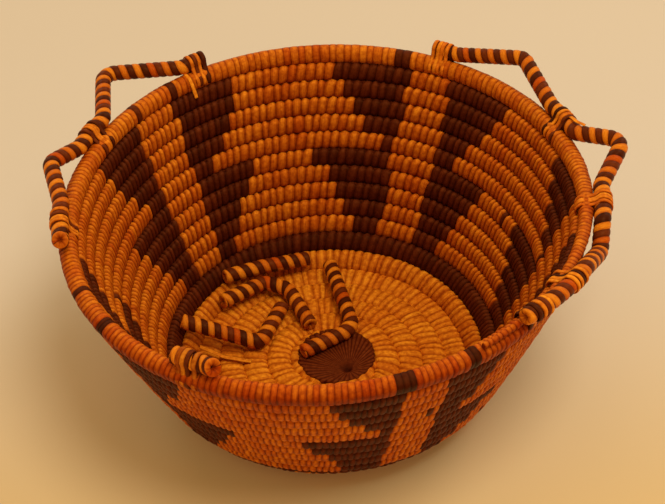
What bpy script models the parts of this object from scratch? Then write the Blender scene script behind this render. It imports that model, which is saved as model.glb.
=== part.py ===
"""Coiled basket with a crown of bent rod handles.

One long foundation bundle is wound from the middle of the floor to the rim. It is
modelled as an unbroken tube that was spliced where a new length was laid in, so each
length is its own object. The handles are rods bent to a V that stands out of the rim, with
feet that lie along the rim and are bound to it by lashings. Four broken rods lie loose on the floor.

Metres, +Z up, the middle of the underside at the origin. Angles are measured from +X,
anticlockwise seen from above. The bundle is wound the other way, clockwise.
"""
import math

import bmesh
import bpy
import numpy as np

# The bundle
RIM_RADIUS = 0.1000
WALL_COIL_DIAMETER = 0.00675
FOOT_COIL_DIAMETER = 0.0078
FLOOR_COIL_DIAMETER = 0.00872
ROW_GAP = 0.00069
SPLICE_GAP = 0.0003
WALL_ROWS = 11
WALL_LEAN = math.radians(23.1)
WALL_BULGE = 0.0005
FOOT_LEAN = math.radians(38.0)
CORNER_LEAN = math.radians(45.0)
FLOOR_EDGE_LEAN = math.radians(62.0)
KNOT_RADIUS = 0.0072
KNOT_DIMPLE = 0.0012
REST_FLAT_DEPTH = 0.00088
TAPER_END_DIAMETER = 0.0017

# The rows, counted down from the rim, in which a new length of bundle was spliced in
LOWER_SPLICE_ROW = 7
UPPER_SPLICE_ROW = 4
RIM_SPLICE_ROW = 1

# The hand-made unevenness of the rim, which fades to nothing at the floor
OVAL_SHARE = 0.028
OVAL_AZIMUTH = math.radians(71.8)
THREE_LOBE_SHARE = 0.0046
THREE_LOBE_AZIMUTH = math.radians(5.9)
TILT_SHARE = 0.0134
TILT_AZIMUTH = math.radians(50.7)
SADDLE_SHARE = 0.0088
SADDLE_AZIMUTH = math.radians(128.7)
RIPPLE_SHARE = 0.0029
RIPPLE_AZIMUTH = math.radians(39.8)

# Every row is level for part of its turn, then climbs one row along the same stretch
POINTS_PER_LOOP = 24
CLIMB_POINTS = 8
CLIMB_END = math.radians(-105.0)

# The handles
ROD_DIAMETER = 0.0058
ROD_SIDES_RESOLUTION = 2
SEAT_GAP = 0.00035
FOOT_LENGTH = 0.0095
FOOT_END_GAP = 0.0004
HEEL_BEND_RADIUS = 0.0050
CROWN_BEND_RADIUS = 0.0055
BEND_STEPS = 4
STUB_RISE = 0.0040

# The lashings
LASHING_THICKNESS = 0.0009
LASHING_WIDTH = 0.0080
LASHING_GAP = 0.0003
LASHING_MOUTH = math.radians(62.0)
LASHING_STEPS = 12

# The splint that has peeled off one of the loose rods
SPLINT_WIDTH = 0.0022
SPLINT_THICKNESS = 0.0006

FULL_TURN = 2.0 * math.pi
COIL_SIDES_RESOLUTION = 1
GAP_STEPS = 4
CUT_OVERRUN = 0.0100

# Handles: name, foot ends and crown in degrees, how far the crown stands out of the rim
# and over it as shares of the rim's radius, and the side of the rim each foot lies on,
# in degrees above straight out
HANDLE_shares = (
    ("handle_back_left", 119.5, 156.0, 138.4, 0.243, 0.063, 60.0, 45.0),
    ("handle_left", 156.0, 188.0, 169.5, 0.114, 0.075, 45.0, 70.0),
    ("handle_back_right", 22.6, 62.5, 41.7, 0.111, 0.122, 50.0, 60.0),
    ("handle_right", -5.7, 22.6, 10.25, 0.195, 0.080, 20.0, 50.0),
    ("handle_front_right", -49.0, -5.7, -17.0, 0.074, -0.048, 62.0, 20.0),
)
LONG_FOOT_HANDLE = "handle_front_right"
LONG_FOOT_HEEL = -28.0
LONG_FOOT_HEEL_SEAT = 28.0

# Stubs of broken handles: name, foot end and break in degrees, side of the rim, and the way
# that the break points, in degrees above straight out
STUBS = (
    ("stub_left", 188.0, 194.5, 70.0, 90.0),
    ("stub_front", -121.0, -113.5, 100.0, 45.0),
)

# Lashings: name, middle in degrees, and side of the rim that the rod lies on at either end
LASHINGS = (
    ("lashing_back_left", 121.3, 60.0, 60.0),
    ("lashing_left_joint", 156.0, 45.0, 45.0),
    ("lashing_left_front", 188.0, 70.0, 70.0),
    ("lashing_back_right", 60.7, 60.0, 60.0),
    ("lashing_right_joint", 22.6, 50.0, 50.0),
    ("lashing_right_front", -5.7, 20.0, 20.0),
    ("lashing_long_foot_heel", -33.0, 39.8, 32.4),
    ("lashing_long_foot_end", -45.0, 59.2, 51.8),
    ("lashing_front", -117.6, 100.0, 100.0),
)

# Loose rods on the floor: azimuth in degrees, reach and lift. A reach up to 1 is a share of the
# floor's radius, and what is over 1 goes on up the wall's foot in shares of the floor's bundle,
# as does the lift
LOOSE_ROD_shares = {
    "loose_rod_straight": ((138.2, 1.935, 0.757), (122.4, 1.477, 0.585), (99.2, 1.370, 0.378)),
    "loose_elbow_back": ((148.8, 1.156, 0.401), (124.2, 0.967, 0.172), (115.7, 0.790, 0.115),
                         (118.6, 0.342, -0.080)),
    "loose_elbow_left": ((172.5, 2.153, 1.147), (171.2, 0.596, 0.0), (165.0, 0.565, 0.0), (127.8, 0.646, 0.0)),
    "loose_elbow_middle": ((89.0, 0.985, 0.229), (56.2, 0.326, 0.0), (55.7, 0.215, 0.0), (188.2, 0.219, 0.0)),
}
PEELED_SPLINT_shares = ((179.5, 1.313, 0.631), (182.3, 0.859, 0.138), (186.2, 0.647, 0.0))


def profile_rows():
    """Radius, height under the rim and tube diameter of every row, rim first."""
    rows = [[RIM_RADIUS, 0.0, WALL_COIL_DIAMETER]]
    diameters = [WALL_COIL_DIAMETER] * (WALL_ROWS - 1) + [FOOT_COIL_DIAMETER, FLOOR_COIL_DIAMETER,
                                                          FLOOR_COIL_DIAMETER]
    leans = [WALL_LEAN] * (WALL_ROWS - 1) + [FOOT_LEAN, CORNER_LEAN, FLOOR_EDGE_LEAN]
    for diameter, lean in zip(diameters, leans):
        radius, height, last = rows[-1]
        step = (diameter + last) / 2 + ROW_GAP
        rows.append([radius - step * math.sin(lean), height - step * math.cos(lean), diameter])
    for index in range(WALL_ROWS):
        share = index / (WALL_ROWS - 1)
        rows[index][0] += WALL_BULGE * 4 * share * (1 - share)
    edge_radius, floor_height, _ = rows[-1]
    first_radius = KNOT_RADIUS + SPLICE_GAP + FLOOR_COIL_DIAMETER / 2
    rounds = max(int((edge_radius - first_radius) / (FLOOR_COIL_DIAMETER + ROW_GAP)), 1)
    for index in range(1, rounds + 1):
        radius = edge_radius + (first_radius - edge_radius) * index / rounds
        rows.append([radius, floor_height, FLOOR_COIL_DIAMETER])
    return rows


ROWS = profile_rows()
FLOOR_LEVEL = -ROWS[-1][1]
RIM_HEIGHT = FLOOR_LEVEL + FLOOR_COIL_DIAMETER / 2 - REST_FLAT_DEPTH
FLOOR_TOP = RIM_HEIGHT - FLOOR_LEVEL + FLOOR_COIL_DIAMETER / 2
EDGE_ROW = WALL_ROWS + 2
SPACING = FULL_TURN / POINTS_PER_LOOP
LEVEL_POINTS = POINTS_PER_LOOP - CLIMB_POINTS


def row_point(row, azimuth):
    """A point on the middle line of a row, with the rim's unevenness fading to the floor."""
    radius, height, _ = ROWS[row]
    fade = max(0.0, 1 + height / FLOOR_LEVEL)
    out_of_round = (OVAL_SHARE * math.cos(2 * (azimuth - OVAL_AZIMUTH))
                    + THREE_LOBE_SHARE * math.cos(3 * (azimuth - THREE_LOBE_AZIMUTH)))
    wave = (TILT_SHARE * math.cos(azimuth - TILT_AZIMUTH)
            + SADDLE_SHARE * math.cos(2 * (azimuth - SADDLE_AZIMUTH))
            + RIPPLE_SHARE * math.cos(3 * (azimuth - RIPPLE_AZIMUTH)))
    radius *= 1 + fade * out_of_round
    height += RIM_HEIGHT + fade * RIM_RADIUS * wave
    return np.array([radius * math.cos(azimuth), radius * math.sin(azimuth), height])


def rim_point(azimuth):
    """A point on the straight-sided ring through the rim row's own points."""
    place = (azimuth - CLIMB_END) / SPACING
    first = math.floor(place)
    share = place - first
    low = row_point(0, CLIMB_END + first * SPACING)
    high = row_point(0, CLIMB_END + (first + 1) * SPACING)
    return low + (high - low) * share


def rim_axes(azimuth):
    """The outward and the up direction at the rim."""
    return np.array([math.cos(azimuth), math.sin(azimuth), 0.0]), np.array([0.0, 0.0, 1.0])


def coil_path():
    """Points and tube diameters of the whole bundle, from the tip at the knot to the rim's tail.

    A row is level for its first points, then climbs to the next row in even steps. The tip
    and the tail fill the wedge that the first and the last climb leave, so they taper.
    """
    points, diameters, marks = [], [], []
    first_row = len(ROWS) - 1
    inner_edge = ROWS[first_row][0] - FLOOR_COIL_DIAMETER / 2
    first_step = ROWS[first_row - 1][0] - ROWS[first_row][0]
    for index in range(CLIMB_POINTS):
        diameter = first_step * index / CLIMB_POINTS - (first_step - FLOOR_COIL_DIAMETER)
        if diameter > TAPER_END_DIAMETER:
            azimuth = CLIMB_END + (CLIMB_POINTS - index) * SPACING
            radius = inner_edge + diameter / 2
            height = RIM_HEIGHT - FLOOR_LEVEL
            points.append(np.array([radius * math.cos(azimuth), radius * math.sin(azimuth), height]))
            diameters.append(diameter)
            marks.append(first_row + 1)
    for row in range(first_row, 0, -1):
        for index in range(POINTS_PER_LOOP):
            azimuth = CLIMB_END - index * SPACING
            climb = max(0.0, (index - LEVEL_POINTS) / CLIMB_POINTS)
            low, high = row_point(row, azimuth), row_point(row - 1, azimuth)
            points.append(low + (high - low) * climb)
            diameters.append(ROWS[row][2] + (ROWS[row - 1][2] - ROWS[row][2]) * climb)
            marks.append(row)
    rim_step = WALL_COIL_DIAMETER + ROW_GAP
    for index in range(POINTS_PER_LOOP):
        azimuth = CLIMB_END - index * SPACING
        climb = max(0.0, (index - LEVEL_POINTS) / CLIMB_POINTS)
        diameter = min(WALL_COIL_DIAMETER, (1 - climb) * rim_step - ROW_GAP)
        if diameter > TAPER_END_DIAMETER:
            top, below = row_point(0, azimuth), row_point(1, azimuth)
            up_the_wall = (top - below) / np.linalg.norm(top - below)
            points.append(top + up_the_wall * (WALL_COIL_DIAMETER - diameter) / 2)
            diameters.append(diameter)
            marks.append(0)
    diameters[0] = diameters[-1] = TAPER_END_DIAMETER
    return np.array(points), np.array(diameters), np.array(marks)


COIL_POINTS, COIL_DIAMETERS, COIL_MARKS = coil_path()


def coil_length(first_row, last_row, splice_index):
    """The part of the bundle from one splice to the next, with room left at both ends.

    A splice is in the middle of a straight side just before the climb, so the two ends
    run straight and face each other squarely.
    """
    starts = np.flatnonzero(COIL_MARKS == first_row)
    ends = np.flatnonzero(COIL_MARKS == last_row)
    low = 0 if first_row > len(ROWS) - 1 else starts[0] + splice_index - 1
    high = len(COIL_POINTS) - 1 if last_row == 0 else ends[0] + splice_index
    points = COIL_POINTS[low:high + 1].copy()
    diameters = COIL_DIAMETERS[low:high + 1].copy()
    if low > 0:
        points[0] = splice_end(points[0], points[1])
    if high < len(COIL_POINTS) - 1:
        points[-1] = splice_end(COIL_POINTS[high], points[-2])
    return points, diameters


def splice_end(outer, inner):
    """The end of a length: half a side in from its outer point, less half the splice gap."""
    middle = (outer + inner) / 2
    inward = (inner - outer) / np.linalg.norm(inner - outer)
    return middle + inward * SPLICE_GAP / 2


def material(name, colour, roughness):
    """A plain dry plant-fibre colour."""
    shade = bpy.data.materials.get(name)
    if shade is None:
        shade = bpy.data.materials.new(name)
        shade.use_nodes = True
        shader = shade.node_tree.nodes["Principled BSDF"]
        shader.inputs["Base Color"].default_value = colour
        shader.inputs["Roughness"].default_value = roughness
        shader.inputs["Metallic"].default_value = 0.0
    return shade


def straw():
    return material("straw_splint", (0.56, 0.22, 0.045, 1.0), 0.55)


def dark_splint():
    return material("dark_splint", (0.085, 0.028, 0.012, 1.0), 0.60)


def striped_rod():
    return material("wrapped_rod", (0.30, 0.11, 0.028, 1.0), 0.50)


def add_object(name, data, shade):
    data.materials.append(shade)
    thing = bpy.data.objects.new(name, data)
    bpy.context.scene.collection.objects.link(thing)
    return thing


def tube_curve(name, points, diameters, resolution):
    """An unbroken tube along points, as a poly curve with a radius at every point."""
    curve = bpy.data.curves.new(name, "CURVE")
    curve.dimensions = "3D"
    curve.twist_mode = "Z_UP"
    curve.bevel_depth = max(diameters) / 2
    curve.bevel_resolution = resolution
    curve.use_fill_caps = True
    spline = curve.splines.new("POLY")
    spline.points.add(len(points) - 1)
    for slot, place, diameter in zip(spline.points, points, diameters):
        slot.co = (*place, 1.0)
        slot.radius = diameter / max(diameters)
    return curve


def add_tube(name, points, diameters, resolution, shade):
    return add_object(name, tube_curve(name, points, diameters, resolution), shade)


def least_gap(points, diameters):
    """The least room between turns of one tube, measured on points along its middle line."""
    shares = np.arange(GAP_STEPS) / GAP_STEPS
    line = (points[:-1, None] * (1 - shares[None, :, None]) + points[1:, None] * shares[None, :, None])
    line = line.reshape(-1, 3)
    size = (diameters[:-1, None] * (1 - shares) + diameters[1:, None] * shares).reshape(-1)
    least = math.inf
    apart = GAP_STEPS * POINTS_PER_LOOP // 2
    for index in range(len(line) - apart):
        far = line[index + apart:] - line[index]
        room = np.linalg.norm(far, axis=1) - (size[index] + size[index + apart:]) / 2
        least = min(least, room.min())
    return least


def add_coil(name, first_row, last_row, shade):
    """One spliced length of the bundle. A length that lies on the floor is cut flat beneath."""
    points, diameters = coil_length(first_row, last_row, LEVEL_POINTS)
    coil = add_tube(name, points, diameters, COIL_SIDES_RESOLUTION, shade)
    if len(points) > POINTS_PER_LOOP:
        print(name, "least gap between turns, mm:", round(1000 * least_gap(points, diameters), 2))
    if last_row >= EDGE_ROW or first_row >= EDGE_ROW:
        coil = flat_beneath(coil)
    return coil


def flat_beneath(coil):
    """The same coil as a mesh, with what hangs under the resting plane cut away."""
    name = coil.name
    shade = coil.data.materials[0]
    mesh = bpy.data.meshes.new_from_object(coil.evaluated_get(bpy.context.evaluated_depsgraph_get()))
    mesh.materials.clear()
    bpy.data.objects.remove(coil)
    solid = add_object(name, mesh, shade)
    solid.name = name
    cut = solid.modifiers.new("rest_flat", "BOOLEAN")
    cut.operation = "DIFFERENCE"
    cut.solver = "EXACT"
    cut.object = rest_cutter()
    return solid


def rest_cutter():
    """A slab under the resting plane, wider than the floor."""
    cutter = bpy.data.objects.get("rest_plane_cutter")
    if cutter is None:
        mesh = bpy.data.meshes.new("rest_plane_cutter")
        build = bmesh.new()
        bmesh.ops.create_cube(build, size=1.0)
        reach = 2 * (ROWS[EDGE_ROW][0] + FLOOR_COIL_DIAMETER)
        bmesh.ops.scale(build, vec=(reach, reach, CUT_OVERRUN), verts=build.verts)
        bmesh.ops.translate(build, vec=(0, 0, -CUT_OVERRUN / 2), verts=build.verts)
        build.to_mesh(mesh)
        build.free()
        cutter = bpy.data.objects.new("rest_plane_cutter", mesh)
        bpy.context.scene.collection.objects.link(cutter)
        cutter.hide_render = True
        cutter.display_type = "WIRE"
    return cutter


def add_knot():
    """The stitched knot that the bundle starts from: a low button with a dimple on top."""
    height = FLOOR_TOP
    belly = height / 2
    profile = [(0.0, 0.0), (KNOT_RADIUS - belly / 2, 0.0)]
    for step in range(1, LASHING_STEPS // 2):
        angle = math.pi * (step / (LASHING_STEPS // 2)) - math.pi / 2
        profile.append((KNOT_RADIUS - belly / 2 + math.cos(angle) * belly / 2, belly + math.sin(angle) * belly))
    profile += [(KNOT_RADIUS / 2, height), (0.0, height - KNOT_DIMPLE)]
    build = bmesh.new()
    corners = [build.verts.new((radius, 0.0, level)) for radius, level in profile]
    edges = [build.edges.new(pair) for pair in zip(corners, corners[1:])]
    bmesh.ops.spin(build, geom=corners + edges, cent=(0, 0, 0), axis=(0, 0, 1), angle=FULL_TURN,
                   steps=POINTS_PER_LOOP, use_merge=True)
    bmesh.ops.remove_doubles(build, verts=build.verts, dist=SPLICE_GAP / 10)
    bmesh.ops.recalc_face_normals(build, faces=build.faces)
    mesh = bpy.data.meshes.new("centre_knot")
    build.to_mesh(mesh)
    build.free()
    mesh.shade_smooth()
    return add_object("centre_knot", mesh, dark_splint())


def rounded_path(corners, bend_radii):
    """A polyline with its inner corners turned to arcs of the given radii."""
    path = [corners[0]]
    for before, corner, after, radius in zip(corners, corners[1:], corners[2:], bend_radii):
        back = (before - corner) / np.linalg.norm(before - corner)
        on = (after - corner) / np.linalg.norm(after - corner)
        half = math.acos(max(-1.0, min(1.0, float(back @ on)))) / 2
        reach = radius / math.tan(half)
        room = min(np.linalg.norm(before - corner), np.linalg.norm(after - corner)) / 2
        if reach > room:
            reach = room
            radius = reach * math.tan(half)
        middle = (back + on) / np.linalg.norm(back + on)
        centre = corner + middle * radius / math.sin(half)
        start, end = corner + back * reach - centre, corner + on * reach - centre
        turn = math.pi - 2 * half
        for step in range(BEND_STEPS + 1):
            share = step / BEND_STEPS
            weight_a = math.sin((1 - share) * turn) / math.sin(turn)
            weight_b = math.sin(share * turn) / math.sin(turn)
            path.append(centre + start * weight_a + end * weight_b)
    path.append(corners[-1])
    return path


def rim_corners(low, high):
    """The azimuths of the rim row's own points between two azimuths."""
    first = math.floor((low - CLIMB_END) / SPACING)
    last = math.ceil((high - CLIMB_END) / SPACING)
    between = [CLIMB_END + index * SPACING for index in range(first, last + 1)]
    clear = SPACING / POINTS_PER_LOOP
    return [azimuth for azimuth in between if low + clear < azimuth < high - clear]


def seat_point(azimuth, side):
    """Where the middle of a rod lies on the rim, on the side that is given in degrees."""
    outward, up = rim_axes(azimuth)
    reach = WALL_COIL_DIAMETER / 2 + SEAT_GAP + ROD_DIAMETER / 2
    lean = math.radians(side)
    return rim_point(azimuth) + reach * (outward * math.cos(lean) + up * math.sin(lean))


def foot_run(end, heel, end_side, heel_side):
    """Points of a foot along the rim, from its end to its heel, with the rim's own corners."""
    stops = sorted([end, heel] + rim_corners(min(end, heel), max(end, heel)), reverse=heel < end)
    run = []
    for azimuth in stops:
        share = (azimuth - end) / (heel - end)
        run.append(seat_point(azimuth, end_side + (heel_side - end_side) * share))
    return run


def handle_corners(start, end, crown, out_share, rise_share, start_side, end_side, start_heel, heel_side):
    """The corners of a handle: foot, heel, crown, heel and foot."""
    half_gap = FOOT_END_GAP / 2 / RIM_RADIUS
    start, end = start + half_gap, end - half_gap
    foot = FOOT_LENGTH / RIM_RADIUS
    outward, up = rim_axes(crown)
    top = rim_point(crown) + RIM_RADIUS * (outward * out_share + up * rise_share)
    first_heel = start + foot if start_heel is None else start_heel
    first = foot_run(start, first_heel, start_side, heel_side)
    last = foot_run(end, end - foot, end_side, end_side)[::-1]
    return first, top, last


def add_handle(name, start, end, crown, out_share, rise_share, start_side, end_side):
    """A rod with two feet on the rim and a rounded crown between them."""
    long_foot = name == LONG_FOOT_HANDLE
    start_heel = math.radians(LONG_FOOT_HEEL) if long_foot else None
    heel_side = LONG_FOOT_HEEL_SEAT if long_foot else start_side
    first, top, last = handle_corners(math.radians(start), math.radians(end), math.radians(crown), out_share,
                                      rise_share, start_side, end_side, start_heel, heel_side)
    bend = rounded_path([first[-2], first[-1], top, last[0], last[1]],
                        [HEEL_BEND_RADIUS, CROWN_BEND_RADIUS, HEEL_BEND_RADIUS])
    path = first[:-2] + bend + last[2:]
    return add_tube(name, path, [ROD_DIAMETER] * len(path), ROD_SIDES_RESOLUTION, striped_rod())


def add_stub(name, foot, broken, side, rise):
    """What is left of a broken handle: a foot on the rim and a short rise to the break."""
    foot, broken = math.radians(foot), math.radians(broken)
    foot += math.copysign(FOOT_END_GAP / 2 / RIM_RADIUS, broken - foot)
    run = foot_run(foot, broken, side, side)
    outward, up = rim_axes(broken)
    heading = (run[-1] - run[-2]) / np.linalg.norm(run[-1] - run[-2])
    lift = outward * math.cos(math.radians(rise)) + up * math.sin(math.radians(rise))
    tip = run[-1] + STUB_RISE * (heading + lift) / np.linalg.norm(heading + lift)
    path = run[:-2] + rounded_path([run[-2], run[-1], tip], [HEEL_BEND_RADIUS])
    return add_tube(name, path, [ROD_DIAMETER] * len(path), ROD_SIDES_RESOLUTION, striped_rod())


def lashing_outline(side, clear):
    """The outline, in outward and up, of a strap round the rim and a rod, this far off them.

    Going round by the direction that the strap faces, the strap is on whichever of the
    two circles reaches further that way, and runs straight from one to the other.
    """
    rim_size = WALL_COIL_DIAMETER / 2 + clear
    rod_size = ROD_DIAMETER / 2 + clear
    reach = WALL_COIL_DIAMETER / 2 + SEAT_GAP + ROD_DIAMETER / 2
    lean = math.radians(side)
    rod = np.array([math.cos(lean), math.sin(lean)]) * reach
    down_the_wall = -math.pi / 2 - WALL_LEAN
    first = down_the_wall - LASHING_MOUTH + FULL_TURN
    last = down_the_wall + LASHING_MOUTH
    swing = math.acos((rim_size - rod_size) / reach)
    facings = [first + (last - first) * step / LASHING_STEPS for step in range(LASHING_STEPS + 1)]
    outline = []
    for facing in facings:
        on_rod = abs((facing - lean + math.pi) % FULL_TURN - math.pi) < swing
        centre, size = (rod, rod_size) if on_rod else (np.zeros(2), rim_size)
        outline.append(centre + size * np.array([math.cos(facing), math.sin(facing)]))
    return outline


def add_lashing(name, middle, first_side, last_side):
    """A strap of splint that binds a rod's foot to the rim, open under the rim."""
    middle = math.radians(middle)
    half = LASHING_WIDTH / 2 / RIM_RADIUS
    stops = sorted([middle - half, middle + half] + rim_corners(middle - half, middle + half))
    build = bmesh.new()
    rings = []
    for azimuth in stops:
        outward, up = rim_axes(azimuth)
        centre = rim_point(azimuth)
        side = first_side + (last_side - first_side) * (azimuth - stops[0]) / (stops[-1] - stops[0])
        inner = lashing_outline(side, LASHING_GAP)
        outer = lashing_outline(side, LASHING_GAP + LASHING_THICKNESS)
        loop = inner + outer[::-1]
        rings.append([build.verts.new(centre + outward * across + up * high) for across, high in loop])
    for low, high in zip(rings, rings[1:]):
        for index in range(len(loop)):
            after = (index + 1) % len(loop)
            build.faces.new((low[index], low[after], high[after], high[index]))
    for ring in (rings[0], rings[-1]):
        for index in range(len(inner) - 1):
            build.faces.new((ring[index], ring[index + 1], ring[-2 - index], ring[-1 - index]))
    bmesh.ops.recalc_face_normals(build, faces=build.faces)
    mesh = bpy.data.meshes.new(name)
    build.to_mesh(mesh)
    build.free()
    return add_object(name, mesh, dark_splint())


def floor_point(degrees, reach_share, lift_share, thickness):
    """A point over the floor at which something this thick lies on it."""
    azimuth = math.radians(degrees)
    floor_radius = ROWS[EDGE_ROW][0]
    reach = floor_radius * min(reach_share, 1) + FLOOR_COIL_DIAMETER * max(reach_share - 1, 0)
    rest = FLOOR_TOP + SEAT_GAP + thickness / 2
    return np.array([reach * math.cos(azimuth), reach * math.sin(azimuth),
                     rest + lift_share * FLOOR_COIL_DIAMETER])


def add_loose_rod(name, shares):
    corners = [floor_point(*share, ROD_DIAMETER) for share in shares]
    path = rounded_path(corners, [CROWN_BEND_RADIUS] * (len(corners) - 2))
    return add_tube(name, path, [ROD_DIAMETER] * len(path), ROD_SIDES_RESOLUTION, striped_rod())


def add_peeled_splint():
    """A flat strip with its width level, swept along three points."""
    places = [floor_point(*share, SPLINT_THICKNESS) for share in PEELED_SPLINT_shares]
    build = bmesh.new()
    rings = []
    for index, place in enumerate(places):
        before, after = places[max(index - 1, 0)], places[min(index + 1, len(places) - 1)]
        heading = (after - before) / np.linalg.norm(after - before)
        across = np.cross([0.0, 0.0, 1.0], heading)
        across /= np.linalg.norm(across)
        lift = np.cross(heading, across)
        half_width, half_height = across * SPLINT_WIDTH / 2, lift * SPLINT_THICKNESS / 2
        corners = (half_width + half_height, half_height - half_width,
                   -half_width - half_height, half_width - half_height)
        rings.append([build.verts.new(place + corner) for corner in corners])
    for low, high in zip(rings, rings[1:]):
        for index in range(len(low)):
            after = (index + 1) % len(low)
            build.faces.new((low[index], low[after], high[after], high[index]))
    build.faces.new(rings[0])
    build.faces.new(rings[-1])
    bmesh.ops.recalc_face_normals(build, faces=build.faces)
    mesh = bpy.data.meshes.new("peeled_splint")
    build.to_mesh(mesh)
    build.free()
    return add_object("peeled_splint", mesh, straw())


def main():
    for thing in list(bpy.data.objects):
        bpy.data.objects.remove(thing)
    add_knot()
    add_coil("base_coil", len(ROWS), EDGE_ROW, straw())
    add_coil("foot_coil", EDGE_ROW, WALL_ROWS, dark_splint())
    add_coil("wall_coil_lower", WALL_ROWS, LOWER_SPLICE_ROW, straw())
    add_coil("wall_coil_middle", LOWER_SPLICE_ROW, UPPER_SPLICE_ROW, straw())
    add_coil("wall_coil_upper", UPPER_SPLICE_ROW, RIM_SPLICE_ROW, straw())
    add_coil("rim_coil", RIM_SPLICE_ROW, 0, straw())
    for handle in HANDLE_shares:
        add_handle(*handle)
    for stub in STUBS:
        add_stub(*stub)
    for lashing in LASHINGS:
        add_lashing(*lashing)
    for name, shares in LOOSE_ROD_shares.items():
        add_loose_rod(name, shares)
    add_peeled_splint()


main()
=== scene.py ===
"""Looks of a coiled basket with bent rod handles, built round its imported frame.

The basket is one long bundle of fibre, wound in a spiral and covered with stitches of split
palm leaf. The winding coordinate counts turns of that spiral from the middle of the floor:
it gives the azimuth (the bundle runs clockwise) and the row, counted down from the rim, and
from these every stitch gets its place, its colour in the pattern and its own small faults.
Lengths are in metres where nothing else is said, and azimuths run anticlockwise from +X.
"""

import math

import bpy
import numpy as np
from bpy.props import FloatProperty, FloatVectorProperty, PointerProperty
from mathutils import Matrix


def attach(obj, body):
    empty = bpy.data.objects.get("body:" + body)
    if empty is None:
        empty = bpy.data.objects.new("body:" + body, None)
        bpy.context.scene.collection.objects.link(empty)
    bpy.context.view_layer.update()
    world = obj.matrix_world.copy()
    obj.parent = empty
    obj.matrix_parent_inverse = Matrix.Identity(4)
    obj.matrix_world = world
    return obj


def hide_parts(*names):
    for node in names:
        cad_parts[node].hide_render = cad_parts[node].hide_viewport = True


bl_info = {
    "name": "Coiled basket with rod handles",
    "version": (1, 0, 0),
    "blender": (4, 5, 0),
    "location": "View3D > Sidebar > Basket",
    "description": "Stitched coils, wrapped rods, lashings and the stage of a coiled basket",
    "category": "Add Mesh",
}

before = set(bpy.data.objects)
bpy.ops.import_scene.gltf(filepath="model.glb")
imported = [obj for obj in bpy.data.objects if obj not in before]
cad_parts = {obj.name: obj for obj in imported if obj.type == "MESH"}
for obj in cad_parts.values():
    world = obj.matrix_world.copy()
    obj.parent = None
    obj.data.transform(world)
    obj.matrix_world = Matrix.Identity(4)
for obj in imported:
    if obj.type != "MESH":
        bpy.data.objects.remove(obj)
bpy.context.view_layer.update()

FULL_TURN = 2 * math.pi
MM = 0.001

# The spiral: rows from the rim to the foot row, where a turn starts, how much of it is level
# before it climbs to the next row, and where new lengths of bundle are spliced in
WALL_ROWS = 11
CLIMB_START = math.radians(255.0)
LEVEL_SHARE = 2 / 3
SPLICE_AZIMUTH = math.radians(22.5)
SPLICE_ROWS = (13, 11, 7, 4, 1)
# Shares of a turn at which the tip at the knot starts and the tail on the rim ends, and the
# least thickness that they are drawn out to
TIP_SHARE = 0.76
TAIL_SHARE = 0.875
THINNEST_SHARE = 0.12

# The hand-made unevenness of the rim: share of the radius, lobes round the rim, azimuth
RIM_OUT_OF_ROUND = ((0.028, 2, math.radians(71.8)), (0.0046, 3, math.radians(5.9)))
RIM_WAVE = ((0.0134, 1, math.radians(50.7)), (0.0088, 2, math.radians(128.7)), (0.0029, 3, math.radians(39.8)))

# The pattern, in degrees. For each motif: low and high edge of the light column at its top
# and bottom row, then how far the dark goes below and above it at the first and the last row
# of the upper tier and of the lower tier
MOTIFS = (
    ((56.0, 67.5), (56.5, 71.0), (39.0, 49.5), (86.5, 73.5), (36.5, 47.0), (93.0, 80.0)),
    ((131.5, 144.5), (133.0, 146.0), (113.5, 124.0), (162.5, 151.5), (112.5, 125.0), (166.0, 154.0)),
    ((210.0, 222.0), (211.0, 224.0), (194.5, 204.0), (240.0, 228.0), (189.0, 200.0), (246.0, 234.0)),
    ((284.0, 294.0), (283.0, 296.0), (269.0, 280.5), (308.0, 302.0), (263.0, 273.0), (315.0, 305.0)),
    ((346.0, 358.0), (345.0, 358.0), (330.0, 339.0), (375.5, 360.0), (327.0, 337.0), (378.5, 369.5)),
)
TIER_ROWS = 5
# How the steps of the upper tier flare: over 1, they are short at the top and long below
UPPER_FLARE = 1.35
# Where the pattern changes rows, in degrees
SEAM_AZIMUTH = -38.0
# Dark stitches on the rim, from and to, in degrees
RIM_MARKS = ((68.0, 72.3), (128.6, 130.4), (141.4, 143.4), (207.5, 209.2), (219.0, 221.2), (282.0, 285.3),
             (297.6, 299.4))

# Handles: name, foot ends and crown in degrees, how far the crown stands out of the rim and
# over it as shares of the rim's radius, and the side of the rim that each foot lies on
HANDLES = (
    ("handle_back_left", 119.5, 156.0, 138.4, 0.243, 0.063, 60.0, 45.0),
    ("handle_left", 156.0, 188.0, 169.5, 0.114, 0.075, 45.0, 70.0),
    ("handle_back_right", 22.6, 62.5, 41.7, 0.111, 0.122, 50.0, 60.0),
    ("handle_right", -5.7, 22.6, 10.25, 0.195, 0.080, 20.0, 50.0),
    ("handle_front_right", -49.0, -5.7, -17.0, 0.074, -0.048, 62.0, 20.0),
)
LONG_FOOT_HANDLE = "handle_front_right"
LONG_FOOT_HEEL = -28.0
LONG_FOOT_SIDE = 28.0
STUBS = (
    ("stub_left", 188.0, 194.5, 70.0, 90.0),
    ("stub_front", -121.0, -113.5, 100.0, 45.0),
)
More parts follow.
